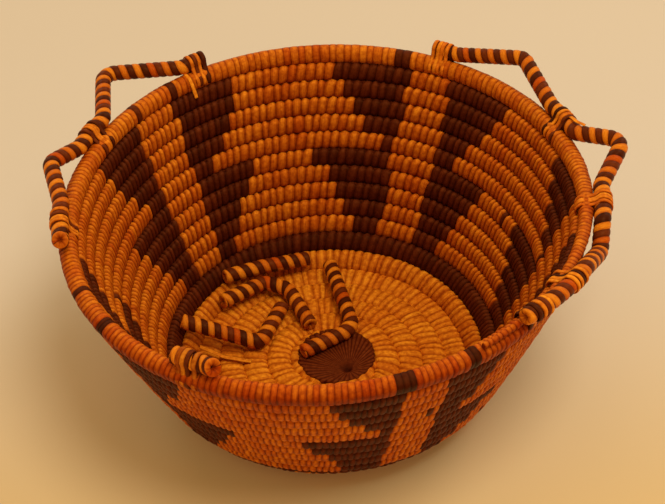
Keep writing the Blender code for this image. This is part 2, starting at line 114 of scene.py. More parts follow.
# Lashings: name, middle in degrees, side of the rod at each end, then one number for each strand:
# 0 where it is light, 1 where it is dark, and between them where the light splint is soiled
LASHINGS = (
    ("lashing_back_left", 121.3, 60.0, 60.0, (1, 0, 1, 0)),
    ("lashing_left_joint", 156.0, 45.0, 45.0, (1, 0, 0, 1)),
    ("lashing_left_front", 188.0, 70.0, 70.0, (0, 1, 0, 0)),
    ("lashing_back_right", 60.7, 60.0, 60.0, (0, 0, 0, 0)),
    ("lashing_right_joint", 22.6, 50.0, 50.0, (1, 0, 0, 1)),
    ("lashing_right_front", -5.7, 20.0, 20.0, (0, 0, 0, 0)),
    ("lashing_long_foot_heel", -33.0, 39.8, 32.4, (0, 0, 1, 0)),
    ("lashing_long_foot_end", -45.0, 59.2, 51.8, (1, 0, 1, 0)),
    ("lashing_front", -117.6, 100.0, 100.0, (0.5, 0.35, 1, 0.45)),
)

# A splint that hangs from the rim: azimuth in degrees, then millimetres out of the middle of
# the rim's bundle and over it
HANGING_SPLINT = ((124.8, 1.8, 3.9), (124.8, -2.4, 3.7), (124.8, -4.3, 0.8), (124.6, -6.2, -4.4))
# A splint that has sprung off a handle: the handle, and the run along it from its end in metres
ARCHED_SPLINT = ("handle_right", 0.0040, 0.0140)

# Loose rods on the floor: azimuth in degrees, reach and lift. A reach up to 1 is a share of the
# floor's radius; what is over 1, and the lift over the floor, are in thicknesses of its bundle
LOOSE_RODS = {
    "loose_rod_straight": ("straight_rod", ((138.2, 1.935, 0.757), (122.4, 1.477, 0.585), (99.2, 1.370, 0.378))),
    "loose_elbow_back": ("back_elbow", ((148.8, 1.156, 0.401), (124.2, 0.967, 0.172), (115.7, 0.790, 0.115),
                                        (118.6, 0.342, -0.080))),
    "loose_elbow_left": ("left_elbow", ((172.5, 2.153, 1.147), (171.2, 0.596, 0.0), (165.0, 0.565, 0.0),
                                        (127.8, 0.646, 0.0))),
    "loose_elbow_middle": ("middle_elbow", ((89.0, 0.985, 0.229), (56.2, 0.326, 0.0), (55.7, 0.215, 0.0),
                                            (188.2, 0.219, 0.0))),
}
PEELED_SPLINT = ((179.5, 1.313, 0.631), (182.3, 0.859, 0.138), (186.2, 0.647, 0.0))


def linear(code):
    """Scene-linear red, green and blue of an sRGB hex value."""
    parts = np.array([int(code[i:i + 2], 16) for i in (1, 3, 5)]) / 255
    return tuple(np.where(parts <= 0.04045, parts / 12.92, ((parts + 0.055) / 1.055) ** 2.4).tolist())


def length(name, text, value):
    """A length property, in metres."""
    return FloatProperty(name=name, description=text, default=value, min=0.0, unit="LENGTH", precision=5)


def colour(name, text, code):
    """A colour property from an sRGB hex value."""
    return FloatVectorProperty(name=name, description=text, default=linear(code), min=0.0, max=1.0, size=3,
                               subtype="COLOR")


class BasketSizes(bpy.types.PropertyGroup):
    """Driving sizes of the coil, the rods and the splints."""
    rim_radius: length("Rim radius", "Middle of the rim's bundle to the basket's axis", 0.1000)
    wall_bundle: length("Wall bundle", "Thickness of the bundle in the wall", 0.00675)
    foot_bundle: length("Foot bundle", "Thickness of the bundle in the foot row", 0.0078)
    floor_bundle: length("Floor bundle", "Thickness of the bundle in the floor", 0.00872)
    row_gap: length("Row gap", "What the stitches between two rows add to their distance", 0.00069)
    wall_bulge: length("Wall bulge", "How far the middle of the wall stands out of a straight line", 0.0005)
    rest_flat: length("Rest flat", "How far the floor's underside is pressed flat", 0.00088)
    knot_radius: length("Knot radius", "Radius of the knot that the bundle starts from", 0.0072)
    centre_radius: length("Centre radius", "Radius of the dark centre of the floor", 0.0163)
    seat_gap: length("Seat gap", "Air between a rod and what it lies on", 0.00035)
    rod: length("Rod", "Thickness of a wrapped rod", 0.0065)
    wrap_pitch: length("Wrap pitch", "Length of rod that one light and one dark wrap cover", 0.0057)
    foot_length: length("Foot length", "Length of a handle's foot along the rim", 0.0095)
    lashing_width: length("Lashing width", "Width of rim that one lashing covers", 0.0080)
    rim_stitch: length("Rim stitch", "Distance between stitches on the front of the rim", 0.0021)
    wall_stitch: length("Wall stitch", "Distance between stitches in the front of the wall", 0.00218)
    stitch_width: length("Floor stitch", "Distance between stitches on the floor", 0.0034)
    splint_width: length("Splint width", "Width of a peeled splint", 0.0022)
    strand_width: length("Strand width", "Width of one strand of a lashing", 0.0017)
    wall_lean: FloatProperty(name="Wall lean", description="Lean of the wall off upright", unit="ROTATION",
                             default=math.radians(23.1))
    foot_lean: FloatProperty(name="Foot lean", description="Lean from the lowest wall row to the foot row",
                             unit="ROTATION", default=math.radians(38.0))
    corner_lean: FloatProperty(name="Corner lean", description="Lean from the foot row to the corner row",
                               unit="ROTATION", default=math.radians(45.0))
    floor_edge_lean: FloatProperty(name="Floor edge lean", description="Lean from the corner row to the floor",
                                   unit="ROTATION", default=math.radians(62.0))


class BasketColours(bpy.types.PropertyGroup):
    """Colours of the fibres and of the stage."""
    straw: colour("Straw", "Dried palm leaf, pale side", "#F2981F")
    amber: colour("Amber", "Dried palm leaf that has turned with age", "#C04A06")
    brown: colour("Brown", "Splint dyed dark in mud or bark", "#753210")
    umber: colour("Umber", "The darkest of the dyed splints", "#3F1708")
    floor: colour("Floor", "Cream paper under the basket", "#D6C9B4")
    # Painted shadow: the darker, yellower paper in front of the basket, where its shadow falls
    floor_painted_shadow: colour("Floor, near", "The same paper where it has yellowed", "#DCBB7A")


class Coil:
    """The spiral of the bundle as functions of the winding coordinate."""

    def __init__(self, sizes):
        """Steps down the leaning wall row by row, then inward over the floor to the knot."""
        self.sizes = sizes
        walls = [sizes.wall_bundle] * (WALL_ROWS - 1) + [sizes.foot_bundle, sizes.floor_bundle, sizes.floor_bundle]
        leans = [sizes.wall_lean] * (WALL_ROWS - 1) + [sizes.foot_lean, sizes.corner_lean, sizes.floor_edge_lean]
        rows = [(sizes.rim_radius, 0.0, sizes.wall_bundle)]
        for thick, lean in zip(walls, leans):
            radius, height, last = rows[-1]
            step = (thick + last) / 2 + sizes.row_gap
            rows.append((radius - step * math.sin(lean), height - step * math.cos(lean), thick))
        radius, height, thick = np.array(rows).T
        share = np.arange(WALL_ROWS) / (WALL_ROWS - 1)
        radius[:WALL_ROWS] += sizes.wall_bulge * 4 * share * (1 - share)
        first = sizes.knot_radius + sizes.row_gap / 2 + sizes.floor_bundle / 2
        rounds = max(int((radius[-1] - first) / (sizes.floor_bundle + sizes.row_gap)), 1)
        inward = np.linspace(radius[-1], first, rounds + 1)[1:]
        radius = np.concatenate([[2 * radius[0] - radius[1]], radius, inward, [2 * inward[-1] - inward[-2]]])
        height = np.concatenate([[-height[1]], height, np.full(rounds + 1, height[-1])])
        self.thick = np.concatenate([thick[:1], thick, np.full(rounds + 1, thick[-1])])
        self.radius, self.height = radius, height
        self.numbers = np.arange(len(radius)) - 1.0
        self.last = len(radius) - 3
        self.floor_level = -height[-1]
        self.floor_edge = rows[-1][0]
        self.rim_height = self.floor_level + sizes.floor_bundle / 2 - sizes.rest_flat
        self.floor_top = self.rim_height - self.floor_level + sizes.floor_bundle / 2

    def place(self, row, azimuth):
        """Middle of the bundle: the row's circle, put out of round and waved more towards the rim."""
        radius = np.interp(row, self.numbers, self.radius)
        height = np.interp(row, self.numbers, self.height)
        fade = np.clip(1 + height / self.floor_level, 0, None)
        out = sum(share * np.cos(lobes * (azimuth - at)) for share, lobes, at in RIM_OUT_OF_ROUND)
        wave = sum(share * np.cos(lobes * (azimuth - at)) for share, lobes, at in RIM_WAVE)
        radius = radius * (1 + fade * out)
        height = height + self.rim_height + fade * self.sizes.rim_radius * wave
        return np.stack([radius * np.cos(azimuth), radius * np.sin(azimuth), height], -1)

    def at(self, winding):
        """Row, azimuth and share of full thickness. A turn is level, then climbs a row.

        The tip and the tail keep to their row and grow or thin in the wedge that the climb leaves.
        """
        turn = np.floor(winding)
        part = winding - turn
        climb = np.clip((part - LEVEL_SHARE) / (1 - LEVEL_SHARE), 0, 1)
        row = np.clip(self.last - turn - climb, 0, self.last)
        thick = np.interp(row, self.numbers, self.thick)
        step = thick + self.sizes.row_gap
        share = np.where(winding < 0, (step * climb - self.sizes.row_gap) / thick, 1.0)
        share = np.where(turn >= self.last, (step * (1 - climb) - self.sizes.row_gap) / thick, share)
        return row, CLIMB_START - FULL_TURN * part, np.clip(share, THINNEST_SHARE, 1.0)

    def winding(self, row, azimuth):
        """Winding coordinate at which the turn that starts in a row passes an azimuth."""
        return self.last - row + (CLIMB_START - azimuth) / FULL_TURN

    def section(self, winding):
        """Middle, up-the-wall and outward directions, half pitch of the rows and share of thickness."""
        row, azimuth, share = self.at(winding)
        above, below = self.place(row - 0.5, azimuth), self.place(row + 0.5, azimuth)
        up = above - below
        pitch = np.linalg.norm(up, axis=-1, keepdims=True)
        up = up / pitch
        ahead = np.stack([-np.sin(azimuth), np.cos(azimuth), np.zeros_like(azimuth)], -1)
        outward = np.cross(ahead, up)
        middle = self.place(row, azimuth)
        spare = (1 - share)[..., None] * pitch / 2
        middle = middle + np.where(winding < 0, -1.0, 1.0)[..., None] * spare * up
        return middle, up, outward, pitch[..., 0] / 2, share


def rim_axes(azimuth):
    """Outward and up at the rim."""
    outward = np.stack([np.cos(azimuth), np.sin(azimuth), np.zeros_like(azimuth)], -1)
    return outward, np.array([0.0, 0.0, 1.0])


class Stitches:
    """Edges, colours and small faults of all the stitches, in order along the bundle."""

    SEED = 21
    TIP_STITCHES = 4
    # How much further apart stitches stand at the back than in front, as a share
    RIM_SWING = 0.57
    WALL_SWING = 0.78
    # How far an edge strays, as a share of a stitch's width, and how much more on the floor
    EDGE_FAULT = 0.15
    FLOOR_FAULT = 1.6
    # Share of the stitches that have the wrong colour
    STRAY_SHARE = 0.003
    # Tone, from pale 0 to dark 1: of the wall, its chance part, and what the rim's front adds as painted shade
    WALL_TONE = 0.28
    CHANCE_TONE = 0.45
    RIM_FRONT_SHADE = 0.3
    # How far stitches stand in or out, in millimetres, and their lean, in stitch widths
    LIFT = (-0.13, 0.16)
    LEAN = 0.10

    def __init__(self, coil):
        """Spaces the stitches turn by turn, moves each edge a little, and colours them by the pattern."""
        random = np.random.default_rng(self.SEED)
        sizes = coil.sizes
        edges = [np.linspace(TIP_SHARE - 1, 0, self.TIP_STITCHES + 1)[:-1]]
        for turn in range(coil.last + 1):
            row = coil.last - turn
            width, swing = (sizes.wall_stitch, self.WALL_SWING) if row <= WALL_ROWS else (sizes.stitch_width, 0.0)
            if row == 0:
                width, swing = sizes.rim_stitch, self.RIM_SWING
            around = FULL_TURN * np.interp(row, coil.numbers, coil.radius)
            edges.append(turn + spread(around / width, swing))
        edges = np.concatenate(edges + [[coil.last + 1.0]])
        width = np.diff(edges)
        fault = self.EDGE_FAULT * np.where(edges[1:-1] < coil.last - WALL_ROWS, self.FLOOR_FAULT, 1.0)
        edges[1:-1] += width[1:] * fault * random.uniform(-1, 1, len(edges) - 2)
        self.edges = edges[edges <= coil.last + TAIL_SHARE]
        middle = (self.edges[:-1] + self.edges[1:]) / 2
        count = len(middle)
        turn = np.floor(middle)
        azimuth = CLIMB_START - FULL_TURN * (middle - turn)
        row = coil.last - turn - (azimuth < math.radians(SEAM_AZIMUTH))
        dark = pattern(row, np.degrees(azimuth) % 360.0)
        stray = random.random(count) < self.STRAY_SHARE
        self.dark = np.where(stray & (row < WALL_ROWS), ~dark, dark)
        self.tone = np.where(row > WALL_ROWS, 0.0, self.WALL_TONE) + random.random(count) * self.CHANCE_TONE
        # Painted shade: the front of the rim is toned darker
        self.tone += self.RIM_FRONT_SHADE * np.clip(-np.sin(azimuth), 0, 1) * (row <= 0)
        self.lift = random.uniform(*self.LIFT, count) * MM
        self.lean = random.uniform(-self.LEAN, self.LEAN, count)


def spread(most, swing):
    """Shares of a turn at which stitches start. most is how many would fit if all were as in front.

    At the back their spacing is more by the swing times the square of the azimuth's sine.
    """
    share = np.linspace(0, 1, 2 * 360 + 1)
    density = most / (1 + swing * np.clip(np.sin(CLIMB_START - FULL_TURN * share), 0, 1) ** 2)
    far = np.append(0, np.cumsum((density[1:] + density[:-1]) / 2 / (len(share) - 1)))
    count = round(far[-1])
    return np.interp(np.arange(count) / count, far / far[-1], share)


def between(ends, share):
    """A number a share of the way from one to another."""
    return ends[0] + (ends[1] - ends[0]) * share


def pattern(row, azimuth):
    """True where a stitch is dark.

    These are the foot row, the marks on the rim, and in the wall the flanks of each motif's
    light column, which step in row by row over each tier.
    """
    dark = row == WALL_ROWS
    down = (row - 1) / (2 * TIER_ROWS - 1)
    step = (row - 1) % TIER_ROWS / (TIER_ROWS - 1)
    lower_tier = row > TIER_ROWS
    step = np.where(lower_tier, step, step ** UPPER_FLARE)
    for top, bottom, upper_start, upper_end, lower_start, lower_end in MOTIFS:
        low, high = (between(edge, down) for edge in zip(top, bottom))
        start = np.where(lower_tier, between(lower_start, step), between(upper_start, step))
        end = np.where(lower_tier, between(lower_end, step), between(upper_end, step))
        for shown in (azimuth, azimuth + 360.0):
            flank = ((shown > start) & (shown < low)) | ((shown > high) & (shown < end))
            dark |= flank & (row > 0) & (row <= 2 * TIER_ROWS)
    for start, end in RIM_MARKS:
        dark |= (row <= 0) & (azimuth > start) & (azimuth < end)
    return dark


def add_surface(name, rings, uv, stitch, depth):
    """A closed tube as a mesh object, from rings of points, with a fan over each end.

    uv has one more column than the rings, so that the pattern meets itself where a ring
    closes. stitch holds the dark share and the tone between two rings, depth is the painted
    shade, 1 at the bottom of a groove. The faces are turned over if the enclosed volume comes out negative.
    """
    count, around = rings.shape[:2]
    number = np.arange(count * around).reshape(count, around)
    after = np.roll(number, -1, axis=1)
    quads = np.stack([number[:-1], after[:-1], after[1:], number[1:]], -1).reshape(-1, 4)
    corner_uv = np.stack([uv[:-1, :-1], uv[:-1, 1:], uv[1:, 1:], uv[1:, :-1]], 2).reshape(-1, 4, 2)
    corner_depth = depth.reshape(-1)[quads]
    faces = np.broadcast_to(stitch[:, None, None, :], (count - 1, around, 4, 2)).reshape(-1, 4, 2)
    ends, end_uv = [], []
    for ring, centre in ((0, count * around), (count - 1, count * around + 1)):
        fan = np.stack([after[ring], number[ring], np.full(around, centre)], -1)
        ends.append(fan if ring == 0 else fan[:, [1, 0, 2]])
        end_uv.append(np.broadcast_to(uv[ring].mean(0), (around, 3, 2)))
    points = np.concatenate([rings.reshape(-1, 3), rings[[0, -1]].mean(1)])
    a, b, c, d = (points[quads[:, k]] for k in range(4))
    volume = np.sum(a * np.cross(b, c)) + np.sum(a * np.cross(c, d))
    if volume < 0:
        quads, corner_uv, corner_depth = quads[:, ::-1], corner_uv[:, ::-1], corner_depth[:, ::-1]
        ends = [fan[:, ::-1] for fan in ends]
    mesh = bpy.data.meshes.new(name)
    mesh.from_pydata(points.tolist(), [], quads.tolist() + [face for fan in ends for face in fan.tolist()])
    layer = mesh.uv_layers.new(name="splint")
    layer.data.foreach_set("uv", np.concatenate([corner_uv.reshape(-1, 2)] + [u.reshape(-1, 2) for u in end_uv])
                           .astype(np.float32).ravel())
    values = np.ones((len(quads) * 4 + 6 * around, 4), np.float32)
    values[:len(quads) * 4, :2] = faces.reshape(-1, 2)
    # The third value is the painted shade of the grooves
    values[:len(quads) * 4, 2] = corner_depth.reshape(-1)
    values[len(quads) * 4:, :2] = np.repeat(stitch[[0, -1]], 3 * around, axis=0)
    mesh.attributes.new("stitch", "FLOAT_COLOR", "CORNER").data.foreach_set("color", values.ravel())
    mesh.shade_smooth()
    piece = bpy.data.objects.new(name, mesh)
    bpy.context.scene.collection.objects.link(piece)
    return piece


def settle(piece, material, body, slot, *nodes):
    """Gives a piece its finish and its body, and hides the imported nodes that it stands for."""
    piece.data.materials.append(material)
    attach(piece, body)
    if nodes:
        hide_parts(*nodes)
    return piece


def add_node(tree, kind, sockets=None, **settings):
    """Adds a shader node with its settings. A socket gets a number or a colour, or is linked to an output."""
    made = tree.nodes.new(kind)
    for name, value in settings.items():
        setattr(made, name, value)
    for key, source in (sockets or {}).items():
        socket = made.inputs[key]
        if isinstance(source, bpy.types.NodeSocket):
            tree.links.new(source, socket)
        else:
            socket.default_value = (*source, 1.0) if socket.type == "RGBA" else source
    return made


def new_material(name):
    """A material with only its Principled shader and its output."""
    material = bpy.data.materials.new(name)
    material.use_nodes = True
    return material, material.node_tree, material.node_tree.nodes["Principled BSDF"]


# Sockets of the colour form of the Mix node
FACTOR, FIRST, SECOND, MIXED = 0, 6, 7, 2

# Splints. Their grain is a noise with bands of fibre side by side and long along the splint.
# On the stitches of the floor it counts in millimetres: bands 0.4 mm wide and 6 mm long. The
# stitches of the wall are narrower, and so are their bands, 0.25 mm
STITCH_GRAIN = (2.6, 0.16, 1.0)
# On the rods the first number is for one pair of wraps, 5.7 mm, and the second for a radian of
# the rod, 3.3 mm: bands 0.36 mm wide and 1.6 mm long. Real fibres are about 0.1 mm wide; both
# are drawn coarser than that, so that they show
WRAP_GRAIN = (16.0, 2.0, 1.0)
# Patches of age about 22 mm across, and flecks of dirt of 1.6 mm, per metre. Real flecks are
# half as large, and are drawn coarser so that they show
STAINS_PER_METRE = 45.0
FLECKS_PER_METRE = 620.0
# Age of a light stitch, from straw 0 to amber 1: its start, and what its tone and its patch add
AGE_START = -0.22
AGE_BY_TONE = 0.75
AGE_BY_STAIN = 0.7
# Lets the dark wrap of a pair draw another tone than the light one
DARK_WRAP_SHIFT = 0.37
# Painted shade: how much of a splint's colour is left in the bottom of a groove is 1 less this
STITCH_GROOVE_SHADE = 0.76
WRAP_GROOVE_SHADE = 0.6
# Painted shade and the grain's streaks darken green and blue by these powers more than red, so that the shade turns
# redder, not grey
GREEN_POWER = 1.65
BLUE_POWER = 2.0
# Dry plant fibre: the usual index of cellulose, and a weak sheen in the colour of the leaf
FIBRE_INDEX = 1.46
FIBRE_SHEEN = 0.16
SHEEN = linear("#FFB060")


def fibre_grain(tree, place, scale, streak_range):
    """Grain along a splint from its texture coordinates, and the streaks that it makes in the colour."""
    fibres = add_node(tree, "ShaderNodeMapping", {0: place, "Scale": scale})
    grain = add_node(tree, "ShaderNodeTexNoise", {0: fibres.outputs[0], "Scale": 1.0, "Detail": 3.0,
                                                  "Roughness": 0.6}).outputs[0]
    least, most = streak_range
    streak = add_node(tree, "ShaderNodeMapRange", {0: grain, "From Min": 0.3, "From Max": 0.7, "To Min": least,
                                                   "To Max": most}).outputs[0]
    return grain, streak


def fibre_finish(tree, shader, base, grain, streak, depth, groove_shade, rough_range, bump):
    """The satin finish of dry leaf: streaked, with painted shade that is dark and redder in the grooves, rough
    where the grain is high.

    bump is the strength of the grain's relief and its height in millimetres.
    """
    # Painted shade: the colour is darkened by the groove value, then turned redder
    left = add_node(tree, "ShaderNodeMath", {0: depth, 1: -groove_shade, 2: 1.0},
                    operation="MULTIPLY_ADD").outputs[0]
    shade = add_node(tree, "ShaderNodeMath", {0: streak, 1: left}, operation="MULTIPLY").outputs[0]
    green, blue = (add_node(tree, "ShaderNodeMath", {0: shade, 1: power}, operation="POWER").outputs[0]
                   for power in (GREEN_POWER, BLUE_POWER))
    tint = add_node(tree, "ShaderNodeCombineColor", {0: shade, 1: green, 2: blue}).outputs[0]
    shaded = add_node(tree, "ShaderNodeMix", {FACTOR: 1.0, FIRST: base, SECOND: tint}, data_type="RGBA",
                    blend_type="MULTIPLY").outputs[MIXED]
    least, most = rough_range
    rough = add_node(tree, "ShaderNodeMapRange", {0: grain, "To Min": least, "To Max": most}).outputs[0]
    strength, distance = bump
    raised = add_node(tree, "ShaderNodeBump", {"Height": grain, "Strength": strength, "Distance": distance * MM})
    for socket, source in (("Base Color", shaded), ("Roughness", rough), ("Normal", raised.outputs[0])):
        tree.links.new(source, shader.inputs[socket])
    shader.inputs["IOR"].default_value = FIBRE_INDEX
    shader.inputs["Specular IOR Level"].default_value = FIBRE_SHEEN
    shader.inputs["Specular Tint"].default_value = (*SHEEN, 1.0)


def light_and_dark(tree, colours, dark, age, tone):
    """Colour of a splint: a light one goes from straw to amber with its age, a dyed one from brown to umber."""
    blend = ((age, colours.straw, colours.amber), (tone, colours.brown, colours.umber))
    light, deep = (add_node(tree, "ShaderNodeMix", {FACTOR: share, FIRST: fresh, SECOND: old},
                            data_type="RGBA").outputs[MIXED] for share, fresh, old in blend)
    return add_node(tree, "ShaderNodeMix", {FACTOR: dark, FIRST: light, SECOND: deep},
                    data_type="RGBA").outputs[MIXED]


def palm_splint(colours):
    """Split palm leaf, dried and stitched: satin, streaked along its fibres, light or dyed dark.

    The grain runs along each stitch, the tone changes from stitch to stitch, and the edges
    that dive between stitches get painted shade, so every stitch reads as its own strip. Patches of
    age and small flecks of dirt lie over all of them.
    """
    material, tree, shader = new_material("stitched_palm_splint")
    stitch = add_node(tree, "ShaderNodeAttribute", attribute_name="stitch").outputs["Color"]
    dark, tone, depth = add_node(tree, "ShaderNodeSeparateColor", {0: stitch}).outputs
    place = add_node(tree, "ShaderNodeUVMap", uv_map="splint").outputs[0]
    grain, streak = fibre_grain(tree, place, STITCH_GRAIN, streak_range=(0.80, 1.12))
    where = add_node(tree, "ShaderNodeTexCoord").outputs["Object"]
    stain, spots = (add_node(tree, "ShaderNodeTexNoise", {0: where, "Scale": scale, "Detail": 2.0}).outputs[0]
                    for scale in (STAINS_PER_METRE, FLECKS_PER_METRE))
    start = add_node(tree, "ShaderNodeMath", {0: tone, 1: AGE_BY_TONE, 2: AGE_START},
                     operation="MULTIPLY_ADD").outputs[0]
    age = add_node(tree, "ShaderNodeMath", {0: stain, 1: AGE_BY_STAIN, 2: start},
                   operation="MULTIPLY_ADD").outputs[0]
    base = light_and_dark(tree, colours, dark, age, tone)
    fleck = add_node(tree, "ShaderNodeMapRange", {0: spots, "From Min": 0.33, "From Max": 0.62, "To Min": 0.74,
                                                  "To Max": 1.08}).outputs[0]
    streak = add_node(tree, "ShaderNodeMath", {0: streak, 1: fleck}, operation="MULTIPLY").outputs[0]
    fibre_finish(tree, shader, base, grain, streak, depth, STITCH_GROOVE_SHADE, rough_range=(0.42, 0.66),
                 bump=(0.35, 0.25))
    return material


def wrapped_splint(colours):
    """Two splints, one light and one dyed, wound side by side round a rod: a slanting stripe.

    The first texture coordinate counts pairs of wraps, so the stripe's edge is crisp and lies
    in the groove of the mesh. Each wrap has its own tone, and its grain runs along the splint.
    """
    material, tree, shader = new_material("wound_palm_splint")
    place = add_node(tree, "ShaderNodeUVMap", uv_map="splint").outputs[0]
    pairs = add_node(tree, "ShaderNodeSeparateXYZ", {0: place}).outputs[0]
    part = add_node(tree, "ShaderNodeMath", {0: pairs}, operation="FRACT").outputs[0]
    number = add_node(tree, "ShaderNodeMath", {0: pairs}, operation="FLOOR").outputs[0]
    dark = add_node(tree, "ShaderNodeMath", {0: part, 1: LIGHT_WRAP_SHARE}, operation="GREATER_THAN").outputs[0]
    which = add_node(tree, "ShaderNodeMath", {0: dark, 1: DARK_WRAP_SHIFT, 2: number},
                     operation="MULTIPLY_ADD").outputs[0]
    tone = add_node(tree, "ShaderNodeTexWhiteNoise", {"W": which}, noise_dimensions="1D").outputs[0]
    grain, streak = fibre_grain(tree, place, WRAP_GRAIN, streak_range=(0.66, 1.02))
    # The groove value is painted shade between the wraps and at the folded ends
    stitch = add_node(tree, "ShaderNodeAttribute", attribute_name="stitch").outputs["Color"]
    depth = add_node(tree, "ShaderNodeSeparateColor", {0: stitch}).outputs[2]
    base = light_and_dark(tree, colours, dark, tone, tone)
    fibre_finish(tree, shader, base, grain, streak, depth, WRAP_GROOVE_SHADE, rough_range=(0.30, 0.55),
                 bump=(0.3, 0.2))
    return material


# Where the paper starts to turn to its near colour, a painted shadow, and where it has, in metres from the middle
PAPER_TURNS = (0.12, -0.16)


def cream_paper(colours):
    """Uncoated paper under the basket: matt and nearly even, so that it shows soft shadows.

    Its clouds are about 300 mm across and only three hundredths lighter or darker. Towards the front it turns to a
    darker, yellower colour, a painted shadow.
    """
    material, tree, shader = new_material("cream_paper")
    where = add_node(tree, "ShaderNodeTexCoord").outputs["Object"]
    cloud = add_node(tree, "ShaderNodeTexNoise", {0: where, "Scale": 3.0}).outputs[0]
    soft = add_node(tree, "ShaderNodeMapRange", {0: cloud, "To Min": 0.97, "To Max": 1.03}).outputs[0]
    tint = add_node(tree, "ShaderNodeCombineColor", {0: soft, 1: soft, 2: soft}).outputs[0]
    depth = add_node(tree, "ShaderNodeSeparateXYZ", {0: where}).outputs[1]
    far, close = PAPER_TURNS
    # Painted shadow: the paper turns to its near colour towards the front
    near = add_node(tree, "ShaderNodeMapRange", {0: depth, "From Min": far, "From Max": close},
                    interpolation_type="SMOOTHSTEP").outputs[0]
    base = add_node(tree, "ShaderNodeMix", {FACTOR: near, FIRST: colours.floor, SECOND: colours.floor_painted_shadow},
                    data_type="RGBA").outputs[MIXED]
    paper = add_node(tree, "ShaderNodeMix", {FACTOR: 1.0, FIRST: base, SECOND: tint}, data_type="RGBA",
                     blend_type="MULTIPLY").outputs[MIXED]
    tree.links.new(paper, shader.inputs["Base Color"])
    shader.inputs["Roughness"].default_value = 0.9
    shader.inputs["Specular IOR Level"].default_value = 0.1
    return material


# Where the rings of a stitch stand, as shares of its width, and how many points a ring has
STITCH_SAMPLES = np.array([0.0, 0.11, 0.36, 0.64, 0.89])
RING_POINTS = 18
# How far the upper end of a stitch stands ahead of its middle, in stitch widths, inside and outside
INSIDE_LEAN = 0.17
OUTSIDE_LEAN = -0.12
# Millimetres of texture for each radian round the bundle, which is its radius
TEXTURE_RADIUS = 3.5
# The least height over the surface that the basket stands on, in millimetres
LOWEST = 0.15


